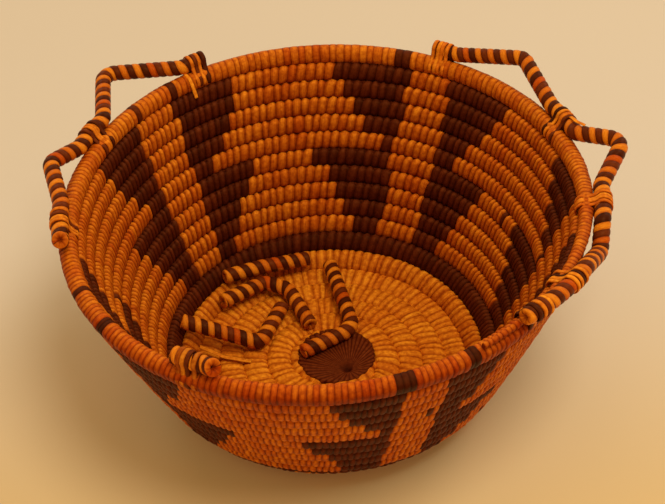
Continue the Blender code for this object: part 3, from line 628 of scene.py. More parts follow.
def coil_rings(coil, stitches, first, last):
    """Rings round the bundle for a run of stitches, with the texture and groove values.

    Round the ring an angle runs from outward over the top to inward and back under. The ring is
    a superellipse a little over half a row high, so that the rows close. It draws in by the
    groove's depth times one minus a dome over the stitch's width, and its upper end stands
    ahead of its foot inside and behind it outside. On the wall's inside the upper half of a ring
    stands out and its lower half is drawn in, so that each row laps the row below, as shingles
    do, and each stitch ends as a fingertip. On the floor the ring is flatter and its grooves
    are shallow, as it was pressed flat by use. The groove value is painted shade, 1 in the
    deepest groove. It also paints shade where a lap covers, in the pits between the rows outside,
    and over the outside of the wall and the rim, and it darkens all of the rim a little.
    """
    edges = stitches.edges[first:last + 1]
    width = np.diff(edges)
    count = len(width)
    shares = np.append(np.tile(STITCH_SAMPLES, count), 0.0)
    which = np.append(np.repeat(np.arange(count), len(STITCH_SAMPLES)), count - 1)
    along = np.append((edges[:-1, None] + width[:, None] * STITCH_SAMPLES).ravel(), edges[-1])
    angle = FULL_TURN * np.arange(RING_POINTS) / RING_POINTS
    up_share, out_share = np.sin(angle)[None, :], np.cos(angle)[None, :]
    # The stitches' lean starts just under the rim row
    under_rim = np.clip(2 * coil.at(along)[0] - 0.4, 0, 1)[:, None]
    fault = stitches.lean[first:last][which][:, None]
    lean = under_rim * (np.where(out_share < 0, -INSIDE_LEAN, -OUTSIDE_LEAN) + fault)
    winding = along[:, None] - lean * width[which][:, None] * up_share
    middle, up, outward, half_pitch, share = coil.section(winding)
    row = coil.at(winding)[0]
    thick = np.interp(row, coil.numbers, coil.thick)
    inner, outer = np.clip(-out_share, 0, 1), np.clip(out_share, 0, 1)
    # The rim's shape fades into the row below it, and the floor's shape starts past the foot row
    floor = np.clip(row - WALL_ROWS - 0.6, 0, 1)
    rim = np.clip(1.2 - row, 0, 1)
    top = np.clip(up_share, 0, 1) ** 2
    body = (1 - floor) * (1 - rim)
    wall = inner * body
    crest = top * (out_share < 0.3) * body
    places = {"inner": inner, "outer": outer, "floor": floor, "rim": rim, "wall": wall, "crest": crest}

    def at_places(value, **more):
        """A value, and what is added to it inside, outside, on the floor, the rim, the wall or its crests."""
        return value + sum(add * places[name] for name, add in more.items())

    # How square the dome of a stitch is, how deep its grooves, and how square the ring
    squareness = at_places(2.3, rim=2.0, outer=1.2, crest=-0.6) + wall * (up_share < 0)
    dome = 1 - abs(2 * shares - 1)[:, None] ** squareness
    groove = at_places(0.50, inner=0.20, crest=0.60) * at_places(1, floor=-0.45) * at_places(1, rim=-0.5) * MM
    drop = groove * (1 - dome) - stitches.lift[first:last][which][:, None] * dome
    power = 2 / at_places(2.45, outer=1.0, floor=0.75, wall=0.4, rim=-0.2)
    # Half width and half height of the ring, against those of the bundle
    wide = share * thick / 2 * (at_places(1.03, outer=0.03, rim=-0.05) + wall * (0.26 * up_share - 0.12))
    high = share * half_pitch * (at_places(1.075, floor=0.05) - 0.08 * rim * top)
    across = np.sign(out_share) * abs(out_share) ** power * (wide - drop)
    rise = np.sign(up_share) * abs(up_share) ** power * (high - at_places(0.5, crest=0.5) * drop)
    rings = middle + outward * across[..., None] + up * rise[..., None]
    rings[..., 2] = np.maximum(rings[..., 2], LOWEST * MM)

    # Painted shade: under the lap of the row above inside, in the pits between rows outside, over the outside of
    # the wall and the rim, and in the grooves between stitches; all of the rim a little darker
    lap_shade = np.clip((0.75 - up_share) / 1.6, 0, 1) ** 1.25 * inner ** 0.3 * (1 - floor) * (1 - 0.6 * rim)
    pit = np.clip((abs(up_share) - 0.55) / 0.45, 0, 1) * outer ** 0.4 * body
    # Painted shade over the outside of the wall, more on the rim
    shaded = outer ** 0.5 * (1 - floor) * at_places(0.20, rim=0.34)
    # Painted shade in the grooves between stitches
    stitch_edge_shade = (1 - dome) * (at_places(0.85, inner=-0.20) + 0.25 * wall * up_share)
    depth = np.clip(stitch_edge_shade + 0.74 * lap_shade + 0.5 * pit + shaded + 0.1 * rim, 0, 1)
    far = np.append(np.arange(count)[:, None] + STITCH_SAMPLES, count) * coil.sizes.stitch_width / MM
    turns = np.append(angle, FULL_TURN) * TEXTURE_RADIUS
    uv = np.stack(np.broadcast_arrays(far[:, None], turns[None, :]), -1)
    stitch = np.stack([stitches.dark[first:last].astype(float), stitches.tone[first:last]], -1)
    return rings, uv, np.repeat(stitch, len(STITCH_SAMPLES), axis=0), depth


# The fibres inside: rings in a turn, points in a ring, how much the stitches cover at each end
# in turns, half height on the rim and below in half rows, half width in wall bundles, and
# their dark share, tone and groove value. These last three paint the fibres dark, as painted
# shade in the gaps between the rows
BUNDLE_STEPS = 90
BUNDLE_POINTS = 8
BUNDLE_COVER = 0.02
BUNDLE_RIM_HEIGHT = 0.8
BUNDLE_HEIGHT = 1.12
BUNDLE_WIDTH = 0.27
BUNDLE_SHADE_LOOK = (0.8, 0.9)
BUNDLE_SHADE_DEPTH = 0.6


def bundle_rings(coil):
    """Rings of the fibres inside the stitches: an ellipse as high as the rows are apart, half as thick."""
    first, last = TIP_SHARE - 1 + BUNDLE_COVER, coil.last + TAIL_SHARE - BUNDLE_COVER
    winding = np.linspace(first, last, int((last - first) * BUNDLE_STEPS))
    middle, up, outward, half_pitch, share = coil.section(winding)
    angle = FULL_TURN * np.arange(BUNDLE_POINTS) / BUNDLE_POINTS
    reach = np.where(coil.at(winding)[0] < 1, BUNDLE_RIM_HEIGHT, BUNDLE_HEIGHT)
    high = (share * half_pitch * reach)[:, None] * np.sin(angle)
    wide = (share * coil.sizes.wall_bundle * BUNDLE_WIDTH)[:, None] * np.cos(angle)
    rings = middle[:, None] + up[:, None] * high[..., None] + outward[:, None] * wide[..., None]
    turns = np.append(angle, FULL_TURN) * TEXTURE_RADIUS
    uv = np.stack(np.broadcast_arrays(turns[None, :], winding[:, None] * BUNDLE_STEPS), -1)
    # The fibres get the dark look and groove value of painted shade
    return rings, uv, np.tile([BUNDLE_SHADE_LOOK], (len(winding) - 1, 1)), np.full(rings.shape[:2], BUNDLE_SHADE_DEPTH)


# Rods: the light wrap's share of a pair, points round a rod, and the step along it in metres
LIGHT_WRAP_SHARE = 0.50
ROD_POINTS = 20
ROD_STEP = 0.00035
# What is added to the count of pairs, so that none is negative
FIRST_PAIR = 40
# How far the wraps stray along the rod, in pairs
WRAP_DRIFT = 0.16
# Height of a wrap and how much higher its leading edge is, in millimetres, and how square it is
WRAP_HEIGHT = 0.30
WRAP_TILT = 0.10
WRAP_SQUARENESS = 2.6
# The end of a rod, folded in: millimetres past the last wrap and share of the radius, then how
# many folds it has and how far they stand out
END_PROFILE = ((0.35, 0.93), (0.62, 0.76), (0.66, 0.55), (0.35, 0.36), (-0.45, 0.22), (-1.3, 0.10))
END_FOLDS = 7
FOLD_SHARE = 0.10
# Groove value of the folds, the painted shade in them, and where the whole end lies in its pair of wraps: in the
# light one
FOLD_DEPTH = 0.55
END_PART = 0.24
# How much more or less than another an end stands out, as a share
END_SPREAD = 0.0119
# Bend radii, in metres
FOOT_BEND = 0.005
CROWN_BEND = 0.0055
# Gap between two feet that meet, to each side, and length of a stub past its foot, in metres
FEET_GAP = 0.0002
STUB_LENGTH = 0.004


def rounded(corners, radii, steps=14):
    """A path with its inner corners turned to arcs: points on the circle that touches both legs."""
    path = [corners[0]]
    for before, corner, after, radius in zip(corners, corners[1:], corners[2:], radii):
        back = (before - corner) / np.linalg.norm(before - corner)
        on = (after - corner) / np.linalg.norm(after - corner)
        half = math.acos(float(np.clip(back @ on, -1, 1))) / 2
        reach = min(radius / math.tan(half), *(np.linalg.norm(leg - corner) / 2 for leg in (before, after)))
        radius = reach * math.tan(half)
        centre = corner + (back + on) / np.linalg.norm(back + on) * radius / math.sin(half)
        start, end = corner + back * reach - centre, corner + on * reach - centre
        turn = math.pi - 2 * half
        share = np.linspace(0, 1, steps)[:, None]
        path.extend(centre + (start * np.sin((1 - share) * turn) + end * np.sin(share * turn)) / math.sin(turn))
    return np.array(path + [corners[-1]])


def even_path(path, step, rounds=6):
    """The same path with points an even step apart, measured along it, then smoothed by a few rounds."""
    far = np.append(0, np.cumsum(np.linalg.norm(np.diff(path, axis=0), axis=1)))
    keep = np.append(True, np.diff(far) > 1e-7)
    count = max(int(far[-1] / step), 4)
    stops = np.linspace(0, far[-1], count + 1)
    even = np.stack([np.interp(stops, far[keep], path[keep, k]) for k in range(3)], -1)
    smooth = even.copy()
    for _ in range(rounds):
        smooth[1:-1] = (smooth[:-2] + 2 * smooth[1:-1] + smooth[2:]) / 4
    return smooth, stops


def carried_frame(path):
    """Two directions across a path that turn no more than it does: each is the last one made square again."""
    ahead = np.gradient(path, axis=0)
    ahead /= np.linalg.norm(ahead, axis=1, keepdims=True)
    side = np.empty_like(path)
    start = np.cross(ahead[0], [0.0, 0.0, 1.0])
    for index, direction in enumerate(ahead):
        start = start - direction * (start @ direction)
        start = start / np.linalg.norm(start)
        side[index] = start
    return ahead, side, np.cross(ahead, side)


def wrapped_rod(name, path, sizes, seed):
    """A rod wound with a light and a dark splint, its ends folded in to a dimple.

    The pair count is length over the wrap pitch less the angle round the rod over a full
    turn. Each wrap rises as a dome over its share of the pair, a little higher at its
    leading edge. At an end the rings shrink to the middle, with folds that grow inward.
    """
    random = np.random.default_rng(seed)
    line, stops = even_path(path, ROD_STEP)
    ahead, side, across = carried_frame(line)
    angle = FULL_TURN * np.arange(ROD_POINTS + 1) / ROD_POINTS
    round_rod = side[:, None] * np.cos(angle)[:, None] + across[:, None] * np.sin(angle)[:, None]
    knots = np.linspace(0, stops[-1], max(int(stops[-1] / (2 * sizes.wrap_pitch)), 2))
    drift = np.interp(stops, knots, random.uniform(-WRAP_DRIFT, WRAP_DRIFT, len(knots)))
    pairs = (stops / sizes.wrap_pitch + drift)[:, None] - angle / FULL_TURN + FIRST_PAIR
    part = pairs % 1.0
    share = np.where(part < LIGHT_WRAP_SHARE, part / LIGHT_WRAP_SHARE,
                     (part - LIGHT_WRAP_SHARE) / (1 - LIGHT_WRAP_SHARE))
    dome = 1 - abs(2 * share - 1) ** WRAP_SQUARENESS
    lift = (WRAP_HEIGHT * (dome - 1) + WRAP_TILT * (share - 0.5) * dome ** 0.5) * MM
    radius = sizes.rod / 2 + lift
    folds = random.uniform(0, FULL_TURN)
    wave = np.sin(END_FOLDS * angle + folds)
    out, shrink = np.array(END_PROFILE).T[:, :, None]
    out = out * MM * (1 + END_SPREAD * math.sin(folds))
    # Painted shade: the end darker towards its dimple and in its folds
    cap_depth = np.clip((1 - shrink) ** 1.5 + FOLD_DEPTH * (1 + wave) / 2 * (shrink < 0.9), 0, 1)
    caps = []
    for end, way in ((0, -1), (-1, 1)):
        folded = radius[end] * shrink * (1 + FOLD_SHARE * wave * (1 - shrink))
        cap = line[end] + round_rod[end] * folded[..., None] + way * ahead[end] * out[..., None]
        cap_uv = np.broadcast_arrays(np.round(pairs[end]) + END_PART, angle, shrink)[:2]
        caps.append([cap[::way], np.stack(cap_uv, -1)[::way], cap_depth[::way]])
    # Painted shade in the grooves between the wraps
    tube = (line[:, None] + round_rod * radius[..., None],
            np.stack([pairs, np.broadcast_to(angle, pairs.shape)], -1), (1 - dome) ** 1.5)
    rings, uv, depth = (np.concatenate(parts) for parts in zip(caps[0], tube, caps[1]))
    return add_surface(name, rings[:, :-1], uv, np.zeros((len(rings) - 1, 2)), depth[:, :-1])


def seat_point(coil, azimuth, side):
    """Middle of a rod on the rim's surface, on the side given in degrees above straight out."""
    sizes = coil.sizes
    outward, up = rim_axes(azimuth)
    reach = sizes.wall_bundle / 2 + sizes.seat_gap + sizes.rod / 2
    lean = np.radians(side)[..., None]
    return coil.place(0.0, azimuth) + reach * (outward * np.cos(lean) + up * np.sin(lean))


def foot_run(coil, end, heel, end_side, heel_side):
    """Points of a foot along the rim from its end to its heel, its side turning evenly between them."""
    share = np.linspace(0, 1, 9)
    return seat_point(coil, end + (heel - end) * share, end_side + (heel_side - end_side) * share)


def handle_path(coil, name, start, end, crown, out_share, rise_share, start_side, end_side):
    """Foot, heel, crown, heel and foot of a handle, with its bends rounded."""
    sizes = coil.sizes
    start, end, crown = np.radians([start, end, crown])
    gap = FEET_GAP / sizes.rim_radius
    foot = sizes.foot_length / sizes.rim_radius
    long_foot = name == LONG_FOOT_HANDLE
    heel = np.radians(LONG_FOOT_HEEL) if long_foot else start + gap + foot
    heel_side = LONG_FOOT_SIDE if long_foot else start_side
    first = foot_run(coil, start + gap, heel, start_side, heel_side)
    last = foot_run(coil, end - gap, end - gap - foot, end_side, end_side)[::-1]
    outward, up = rim_axes(crown)
    top = coil.place(0.0, crown) + sizes.rim_radius * (outward * out_share + up * rise_share)
    bend = rounded([first[-3], first[-1], top, last[0], last[2]], [FOOT_BEND, CROWN_BEND, FOOT_BEND])
    return np.concatenate([first[:-3], bend, last[3:]])


def stub_path(coil, foot, broken, side, rise):
    """A foot on the rim that rises to its break, halfway between on and the way the break points."""
    foot, broken = np.radians([foot, broken])
    foot += math.copysign(FEET_GAP / coil.sizes.rim_radius, broken - foot)
    run = foot_run(coil, foot, broken, side, side)
    outward, up = rim_axes(broken)
    heading = (run[-1] - run[-2]) / np.linalg.norm(run[-1] - run[-2])
    lift = outward * math.cos(math.radians(rise)) + up * math.sin(math.radians(rise))
    tip = run[-1] + STUB_LENGTH * (heading + lift) / np.linalg.norm(heading + lift)
    return np.concatenate([run[:-3], rounded([run[-3], run[-1], tip], [FOOT_BEND])])


# Lashings: how far a strand is pulled in between the rim and the rod, in metres, how far round
# the rim's underside it starts and ends, in radians past its lowest point, its rings, and
# across it half widths and heights in millimetres
STRAP_PULL = 0.0011
STRAP_OVERLAP = math.radians(40)
STRAP_RINGS = 44
STRAP_ACROSS = np.array([-1.0, -0.8, -0.4, 0.0, 0.4, 0.8, 1.0, 0.0])
STRAP_HEIGHT = np.array([-0.1, 0.26, 0.42, 0.47, 0.42, 0.26, -0.1, -0.3])
STRAP_CLEAR = 0.12 * MM
# Texture over half a strand's width, along all of a strand, and for a radian round the rim, so
# that no two strands have the same grain
STRAND_TEXTURE = 1.2
STRAND_TEXTURE_LENGTH = 20
STRAND_TEXTURE_SHIFT = 50


def strap_outline(sizes, side, clear, steps=26):
    """Outward and up distances of a strap round the rim and a rod on it.

    Seen by the direction that the strap faces, it lies on whichever of the two circles
    reaches further that way, and it runs straight from one to the other.
    """
    rim_size, rod_size = sizes.wall_bundle / 2 + clear, sizes.rod / 2 + clear
    reach = sizes.wall_bundle / 2 + sizes.seat_gap + sizes.rod / 2
    lean = math.radians(side)
    rod = np.array([math.cos(lean), math.sin(lean)]) * reach
    down = -math.pi / 2 - sizes.wall_lean
    facing = np.linspace(down - STRAP_OVERLAP + FULL_TURN, down + STRAP_OVERLAP, steps)
    swing = math.acos((rim_size - rod_size) / reach)
    on_rod = abs((facing - lean + math.pi) % FULL_TURN - math.pi) < swing
    unit = np.stack([np.cos(facing), np.sin(facing)], -1)
    return np.where(on_rod[:, None], rod + unit * rod_size, unit * rim_size), unit


def strip_uv(across, count):
    """Texture coordinates of a strip: across it as given, and even along it."""
    return np.stack(np.broadcast_arrays(across, np.linspace(0, STRAND_TEXTURE_LENGTH, count)[:, None]), -1)


def splint(name, line, width, thick, look, shift=0.0):
    """A splint along a line: a flat strip with a low dome on its upper side."""
    ahead, side, across = carried_frame(line)
    level = np.array([1.0, 0.55, -0.55, -1.0, -0.5, 0.5])
    rise = np.array([0.0, 0.45, 0.45, 0.0, -0.3, -0.3])
    rings = line[:, None] + side[:, None] * (level * width / 2)[:, None] + across[:, None] * (rise * thick)[:, None]
    uv = strip_uv(np.append(level, level[0]) + shift, len(line))
    return add_surface(name, rings, uv, np.tile([look], (len(line) - 1, 1)), np.zeros(rings.shape[:2]))


def strap(name, coil, middle, side, width, lean, stitch):
    """One splint round the rim and a rod: a flat strip with a low dome, swept round the outline.

    Between the rim and the rod it is pulled in by a parabola over the distance between them.
    """
    hull, facing = strap_outline(coil.sizes, side, STRAP_CLEAR)
    far = np.append(0, np.cumsum(np.linalg.norm(np.diff(hull, axis=0), axis=1)))
    stops = np.linspace(0, far[-1], STRAP_RINGS)
    outline, facing = (np.stack([np.interp(stops, far, column) for column in part.T], -1)
                       for part in (hull, facing))
    to_rod = np.array([math.cos(math.radians(side)), math.sin(math.radians(side))])
    aside = np.array([-to_rod[1], to_rod[0]])
    reach = outline @ to_rod / (coil.sizes.wall_bundle / 2 + coil.sizes.seat_gap + coil.sizes.rod / 2)
    pull = STRAP_PULL * np.clip(1 - (2 * reach - 1) ** 2, 0, 1)
    outline = outline - (np.sign(outline @ aside) * pull)[:, None] * aside
    azimuth = middle + lean * np.linspace(-0.5, 0.5, STRAP_RINGS) / coil.sizes.rim_radius
    outward, up = rim_axes(azimuth)
    ahead = np.stack([-np.sin(azimuth), np.cos(azimuth), np.zeros(STRAP_RINGS)], -1)
    place = coil.place(0.0, azimuth) + outward * outline[:, :1] + up * outline[:, 1:]
    normal = outward * facing[:, :1] + up * facing[:, 1:]
    rings = (place[:, None] + ahead[:, None] * (STRAP_ACROSS * width / 2)[None, :, None]
             + normal[:, None] * (STRAP_HEIGHT * MM)[None, :, None])
    uv = strip_uv(np.append(STRAP_ACROSS, -1.0) * STRAND_TEXTURE + middle * STRAND_TEXTURE_SHIFT, STRAP_RINGS)
    # Painted shade: darker towards both edges of a strand
    depth = np.broadcast_to(abs(STRAP_ACROSS) ** 4 * 0.9, rings.shape[:2])
    return add_surface(name, rings, uv, np.tile([stitch], (STRAP_RINGS - 1, 1)), depth)


def join(pieces, name):
    """Makes one object of several."""
    with bpy.context.temp_override(active_object=pieces[0], selected_editable_objects=pieces,
                                   selected_objects=pieces):
        bpy.ops.object.join()
    pieces[0].name = name
    return pieces[0]


def floor_point(coil, degrees, reach, lift, thick):
    """A point over the floor at which something this thick lies on it."""
    azimuth = math.radians(degrees)
    out = coil.floor_edge * min(reach, 1) + coil.sizes.floor_bundle * max(reach - 1, 0)
    rest = coil.floor_top + coil.sizes.seat_gap + thick / 2
    return np.array([out * math.cos(azimuth), out * math.sin(azimuth), rest + lift * coil.sizes.floor_bundle])


def materials(colours):
    """The splint materials, made once."""
    palm = bpy.data.materials.get("stitched_palm_splint") or palm_splint(colours)
    wound = bpy.data.materials.get("wound_palm_splint") or wrapped_splint(colours)
    return palm, wound


class BASKET_OT_coils(bpy.types.Operator):
    """Add the stitched bundle of the floor, the foot, the wall and the rim"""
    bl_idname = "basket.coils"
    bl_label = "Stitched coils"

    def execute(self, context):
        coil = Coil(context.scene.basket_sizes)
        stitches = Stitches(coil)
        palm = materials(context.scene.basket_colours)[0]
        splices = [stitches.edges[0]] + [coil.winding(row, SPLICE_AZIMUTH) for row in SPLICE_ROWS]
        stops = [int(np.argmin(abs(stitches.edges - place))) for place in splices] + [len(stitches.edges) - 1]
        names = ("base_coil", "foot_coil", "wall_coil_lower", "wall_coil_middle", "wall_coil_upper", "rim_coil")
        for name, first, last in zip(names, stops, stops[1:]):
            piece = add_surface("stitched_" + name, *coil_rings(coil, stitches, first, last))
            slot = "dark_splint" if name == "foot_coil" else "straw_splint"
            settle(piece, palm, "basket", slot, name)
        settle(add_surface("grass_bundle", *bundle_rings(coil)), palm, "basket", "straw_splint")
        return {"FINISHED"}


# The dark centre: how many stitches fan out over it, where they start and where its middle is,
# in metres off the basket's axis, and its profile as shares of its radius with heights over
# the floor in millimetres
CENTRE_STITCHES = 40
CENTRE_START = (0.0072, -0.0102)
CENTRE_PLACE = (0.0022, -0.0006)
CENTRE_PROFILE = ((0.03, -1.6), (0.05, -1.2), (0.08, -0.3), (0.2, 0.2), (0.36, 0.38), (0.55, 0.45),
                  (0.74, 0.48), (0.92, 0.45), (0.985, 0.1), (1.0, -1.6), (0.7, -2.2), (0.3, -2.4))
CENTRE_SEED = 3
# Its outline's faults as a share, the hole's share of it, which is painted dark as shade, the depth
# of its grooves, its dark share and tone, and the texture for a quarter of a stitch and from the
# middle to the edge
CENTRE_FAULT = 0.03
CENTRE_HOLE = 0.09
CENTRE_GROOVE = 0.25 * MM
CENTRE_LOOK = (1.0, 0.15)
CENTRE_TEXTURE = (0.6, 16.0)


class BASKET_OT_knot(bpy.types.Operator):
    """Add the dark centre of the floor: long stitches that fan out from the hole that they start in"""
    bl_idname = "basket.knot"
    bl_label = "Centre knot"

    def execute(self, context):
        coil = Coil(context.scene.basket_sizes)
        share, level = np.array(CENTRE_PROFILE).T[:, :, None]
        angle = FULL_TURN * np.arange(4 * CENTRE_STITCHES + 1) / (4 * CENTRE_STITCHES)
        ridge = 1 - abs(2 * (np.arange(len(angle)) / 4 % 1.0) - 1) ** 2
        rough = np.random.default_rng(CENTRE_SEED).uniform(-CENTRE_FAULT, CENTRE_FAULT, CENTRE_STITCHES)
        edge = coil.sizes.centre_radius * (1 + np.append(np.repeat(rough, 4), rough[0]) * ridge)
        start = (1 - share) * np.array(CENTRE_START) + share * np.array(CENTRE_PLACE)
        rise = coil.floor_top + MM * level - CENTRE_GROOVE * (1 - ridge) * np.clip(3 * share, 0, 1)
        rings = np.stack([start[:, :1] + share * edge * np.cos(angle), start[:, 1:] + share * edge * np.sin(angle),
                          rise], -1)
        uv = np.stack(np.broadcast_arrays(np.arange(len(angle)) * CENTRE_TEXTURE[0], share * CENTRE_TEXTURE[1]), -1)
        # Painted shade in the grooves between the long stitches and in the hole
        depth = np.clip((1 - ridge) * 0.9 + (share < CENTRE_HOLE) * 0.8, 0, 1)
        stitch = np.tile([CENTRE_LOOK], (len(share) - 1, 1))
        piece = add_surface("stitched_knot", rings[:, :-1], uv, stitch, depth[:, :-1])
        settle(piece, materials(context.scene.basket_colours)[0], "basket", "dark_splint", "centre_knot")
        return {"FINISHED"}


HANDLE_SEED = 5
LASHING_SEED = 8
LOOSE_ROD_SEED = 31


class BASKET_OT_handles(bpy.types.Operator):
    """Add the bent handles and the stubs of the broken ones"""
    bl_idname = "basket.handles"
    bl_label = "Handles and stubs"

    def execute(self, context):
        coil = Coil(context.scene.basket_sizes)
        wound = materials(context.scene.basket_colours)[1]
        paths = [(row[0], handle_path(coil, *row)) for row in HANDLES]
        paths += [(name, stub_path(coil, *row)) for name, *row in STUBS]
        for seed, (name, path) in enumerate(paths):
            piece = wrapped_rod("wrapped_" + name, path, coil.sizes, seed + HANDLE_SEED)
            settle(piece, wound, "basket", "wrapped_rod", name)
        return {"FINISHED"}


# Faults of a lashing's strands: shift as a share of the lashing's width, width as shares of an
# even strand, and slant to each side in metres
STRAND_SHIFT = 0.05
STRAND_WIDTHS = (0.9, 1.15)
STRAND_SLANT = 1.2 * MM
# Splints on their own: thickness, bend radius and step in metres, and dark share and tone
STRAND_THICKNESS = 0.0005
HANGING_BEND = 0.004
HANGING_STEP = 0.0006
ARCHED_STEP = 0.0005
LOOSE_SPLINT_LOOK = (0.0, 0.1)
# The arched splint: the way that it stands off its handle, the air under its ends and its hump
ARCH_WAY = np.array([0.0, 0.35, 0.94])
ARCH_CLEAR = 0.2 * MM
ARCH_HUMP = 1.1 * MM


class BASKET_OT_lashings(bpy.types.Operator):
    """Add the splints that bind the rods' feet to the rim, and the two that have come off them"""
    bl_idname = "basket.lashings"
    bl_label = "Lashings"

    def execute(self, context):
        coil = Coil(context.scene.basket_sizes)
        sizes = coil.sizes
        palm = materials(context.scene.basket_colours)[0]
        random = np.random.default_rng(LASHING_SEED)
        width = sizes.lashing_width
        for name, middle, low_side, high_side, darks in LASHINGS:
            straps = []
            for index, dark in enumerate(darks):
                place = (index + 0.5) / len(darks) - 0.5 + random.uniform(-STRAND_SHIFT, STRAND_SHIFT)
                azimuth = math.radians(middle) + width * place / sizes.rim_radius
                side = between((low_side, high_side), place + 0.5)
                straps.append(strap(f"{name}_{index}", coil, azimuth, side,
                                    width / len(darks) * random.uniform(*STRAND_WIDTHS),
                                    random.uniform(-STRAND_SLANT, STRAND_SLANT), (float(dark), random.random())))
            settle(join(straps, "splints_" + name), palm, "basket", "dark_splint", name)
        for name, line in (("hanging_splint", self.hanging(coil)), ("arched_splint", self.arched(coil))):
            piece = splint(name, line, sizes.strand_width, STRAND_THICKNESS, LOOSE_SPLINT_LOOK, shift=len(name))
            settle(piece, palm, "basket", "straw_splint")
        return {"FINISHED"}

    @staticmethod
    def hanging(coil):
        """Line of the splint that hangs over the rim, its corners rounded."""
        azimuth, out, rise = np.array(HANGING_SPLINT).T
        outward, up = rim_axes(np.radians(azimuth))
        line = coil.place(0.0, np.radians(azimuth)) + (outward * out[:, None] + up * rise[:, None]) * MM
        return even_path(rounded(line, [HANGING_BEND] * (len(line) - 2)), HANGING_STEP)[0]

    @staticmethod
    def arched(coil):
        """Line of the splint that has sprung off a handle: half a sine wave over the rod."""
        handle, start, end = ARCHED_SPLINT
        row = next(row for row in HANDLES if row[0] == handle)
        path, stops = even_path(handle_path(coil, *row)[::-1], ARCHED_STEP)
        part = (stops > start) & (stops < end)
        hump = np.sin(math.pi * (stops[part] - start) / (end - start))
        return path[part] + ARCH_WAY * (coil.sizes.rod / 2 + ARCH_CLEAR + ARCH_HUMP * hump)[:, None]


# Loose pieces: bends of the rods, and of the peeled splint, its thickness, and its look
ELBOW_BEND = 0.0055
PEELED_BEND = 0.01
PEELED_THICKNESS = 0.0006
PEELED_LOOK = (0.0, 0.3)


class BASKET_OT_loose_rods(bpy.types.Operator):
    """Add the broken rods that lie on the floor and the splint that has peeled off one"""
    bl_idname = "basket.loose_rods"
    bl_label = "Loose rods"

    def execute(self, context):
        coil = Coil(context.scene.basket_sizes)
        palm, wound = materials(context.scene.basket_colours)
        for seed, (name, (body, shares)) in enumerate(LOOSE_RODS.items()):
            corners = [floor_point(coil, *share, coil.sizes.rod) for share in shares]
            path = rounded(corners, [ELBOW_BEND] * (len(corners) - 2))
            piece = wrapped_rod("wrapped_" + name, path, coil.sizes, seed + LOOSE_ROD_SEED)
            settle(piece, wound, body, "wrapped_rod", name)
        line = rounded([floor_point(coil, *share, PEELED_THICKNESS) for share in PEELED_SPLINT], [PEELED_BEND])
        piece = splint("curled_peeled_splint", line, coil.sizes.splint_width, PEELED_THICKNESS, PEELED_LOOK)
        settle(piece, palm, "left_elbow", "straw_splint", "peeled_splint")
        return {"FINISHED"}


# Lamps: name, place in metres, size across in metres, power in watts, colour
LAMPS = (
    ("key_lamp", (0.95, 0.75, 1.05), 0.60, 2.9, "#FFFCFA"),
    ("top_lamp", (0.32, -0.42, 1.38), 0.60, 9.4, "#FFFAF4"),
    ("back_lamp", (-0.60, 1.20, 0.95), 0.60, 1.6, "#FFFCFA"),
    ("fill_lamp", (-0.30, -1.40, 0.80), 1.10, 0.8, "#FFE2BC"),
)
# The even light from all round, and half the side of the paper floor in metres
WORLD_TINT = "#FFDDA6"
WORLD_STRENGTH = 0.69
FLOOR_REACH = 3.0


class BASKET_OT_stage(bpy.types.Operator):
    """Add the pale floor, the soft lamps and the camera"""
    bl_idname = "basket.stage"
    bl_label = "Stage"

    def execute(self, context):
        coil = Coil(context.scene.basket_sizes)
        colours = context.scene.basket_colours
        mesh = bpy.data.meshes.new("paper_floor")
        corners = [(x * FLOOR_REACH, y * FLOOR_REACH, 0) for x, y in ((-1, -1), (1, -1), (1, 1), (-1, 1))]
        mesh.from_pydata(corners, [], [(0, 1, 2, 3)])
        floor = bpy.data.objects.new("paper_floor", mesh)
        mesh.materials.append(cream_paper(colours))
        context.scene.collection.objects.link(floor)
        middle = np.array([0.0, 0.0, coil.rim_height / 2])
        for name, place, size, power, tint in LAMPS:
            light = bpy.data.lights.new(name, "AREA")
            light.shape = "DISK"
            light.size = size
            light.energy = power
            light.color = linear(tint)
            lamp = bpy.data.objects.new(name, light)
            context.scene.collection.objects.link(lamp)
            lamp.matrix_world = aimed(np.array(place), middle - np.array(place), (0.0, 0.0, 1.0))
        add_world(context, colours)
        add_camera(context, coil)
        context.scene.view_settings.view_transform = "Standard"
        return {"FINISHED"}


def aimed(place, ahead, above):
    """The matrix of a lamp or a camera at a place, looking ahead, with its top turned above."""
    back = -np.array(ahead) / np.linalg.norm(ahead)
    right = np.cross(above, back)
    right /= np.linalg.norm(right)
    matrix = np.eye(4)
    matrix[:3, :4] = np.stack([right, np.cross(back, right), back, place], -1)
    return Matrix(matrix.tolist())


def add_world(context, colours):
    """Even pale light from all round; rays from the camera see the floor's own colour."""
    world = bpy.data.worlds.new("studio")
    context.scene.world = world
    world.use_nodes = True
    tree = world.node_tree
    tree.nodes.clear()
    light, seen = (add_node(tree, "ShaderNodeBackground", {0: tint, 1: strength}).outputs[0]
                   for tint, strength in ((linear(WORLD_TINT), WORLD_STRENGTH), (colours.floor, 1.0)))
    camera_ray = add_node(tree, "ShaderNodeLightPath").outputs["Is Camera Ray"]
    both = add_node(tree, "ShaderNodeMixShader", {0: camera_ray, 1: light, 2: seen}).outputs[0]
    add_node(tree, "ShaderNodeOutputWorld", {0: both})


# The camera: distance in rim radii, elevation over the rim's middle, pan, tilt and roll in
# radians, and the lens in millimetres
CAMERA_DISTANCE = 5.7248
CAMERA_ELEVATION = 0.66312
CAMERA_PAN = -0.003289
CAMERA_TILT = -0.034616
CAMERA_ROLL = 0.031879
CAMERA_LENS = 81.2


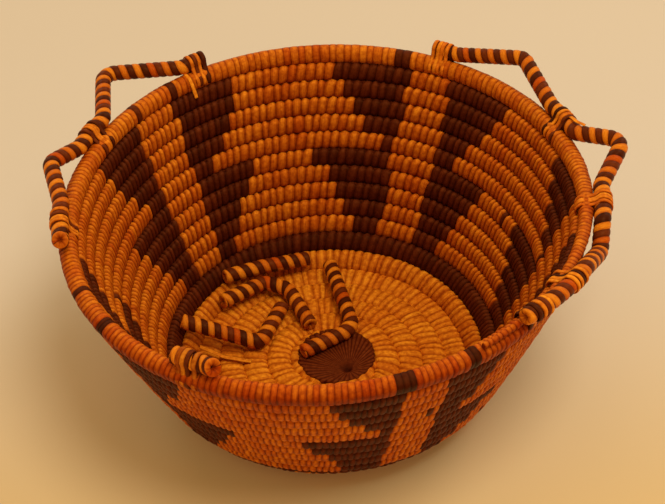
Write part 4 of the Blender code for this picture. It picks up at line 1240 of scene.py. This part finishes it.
def add_camera(context, coil):
    """A long lens that looks down at the middle of the rim, then pans, tilts and rolls a little."""
    def turned(vector, axis, angle):
        return (vector * math.cos(angle) + np.cross(axis, vector) * math.sin(angle)
                + axis * (axis @ vector) * (1 - math.cos(angle)))

    back = np.array([0.0, -math.cos(CAMERA_ELEVATION), math.sin(CAMERA_ELEVATION)])
    ahead, right = -back, np.array([1.0, 0.0, 0.0])
    above = np.cross(right, ahead)
    ahead, right = turned(ahead, above, CAMERA_PAN), turned(right, above, CAMERA_PAN)
    ahead, above = turned(ahead, right, CAMERA_TILT), turned(above, right, CAMERA_TILT)
    above = turned(above, ahead, CAMERA_ROLL)
    lens = bpy.data.cameras.new("long_lens")
    lens.lens = CAMERA_LENS
    lens.clip_start, lens.clip_end = 0.01, 20.0
    camera = bpy.data.objects.new("long_lens", lens)
    context.scene.collection.objects.link(camera)
    place = back * CAMERA_DISTANCE * coil.sizes.rim_radius + np.array([0.0, 0.0, coil.rim_height])
    camera.matrix_world = aimed(place, ahead, above)
    context.scene.camera = camera


class BASKET_PT_panel(bpy.types.Panel):
    """Lists the basket's sizes, colours and pieces."""
    bl_idname = "BASKET_PT_panel"
    bl_label = "Coiled basket"
    bl_space_type = "VIEW_3D"
    bl_region_type = "UI"
    bl_category = "Basket"

    def draw(self, context):
        for group in (context.scene.basket_sizes, context.scene.basket_colours):
            for name in group.__annotations__:
                self.layout.prop(group, name)
        for operator in OPERATORS:
            self.layout.operator(operator.bl_idname)


OPERATORS = (BASKET_OT_coils, BASKET_OT_knot, BASKET_OT_handles, BASKET_OT_lashings, BASKET_OT_loose_rods,
             BASKET_OT_stage)
CLASSES = (BasketSizes, BasketColours, *OPERATORS, BASKET_PT_panel)


def register():
    """Adds the classes, and the sizes and colours, to the scene."""
    for each in CLASSES:
        bpy.utils.register_class(each)
    bpy.types.Scene.basket_sizes = PointerProperty(type=BasketSizes)
    bpy.types.Scene.basket_colours = PointerProperty(type=BasketColours)


def unregister():
    """Takes away what register added."""
    del bpy.types.Scene.basket_sizes
    del bpy.types.Scene.basket_colours
    for each in reversed(CLASSES):
        bpy.utils.unregister_class(each)


def main():
    """Makes every piece and the stage."""
    register()
    bpy.ops.basket.coils()
    bpy.ops.basket.knot()
    bpy.ops.basket.handles()
    bpy.ops.basket.lashings()
    bpy.ops.basket.loose_rods()
    bpy.ops.basket.stage()


if __name__ == "__main__":
    main()
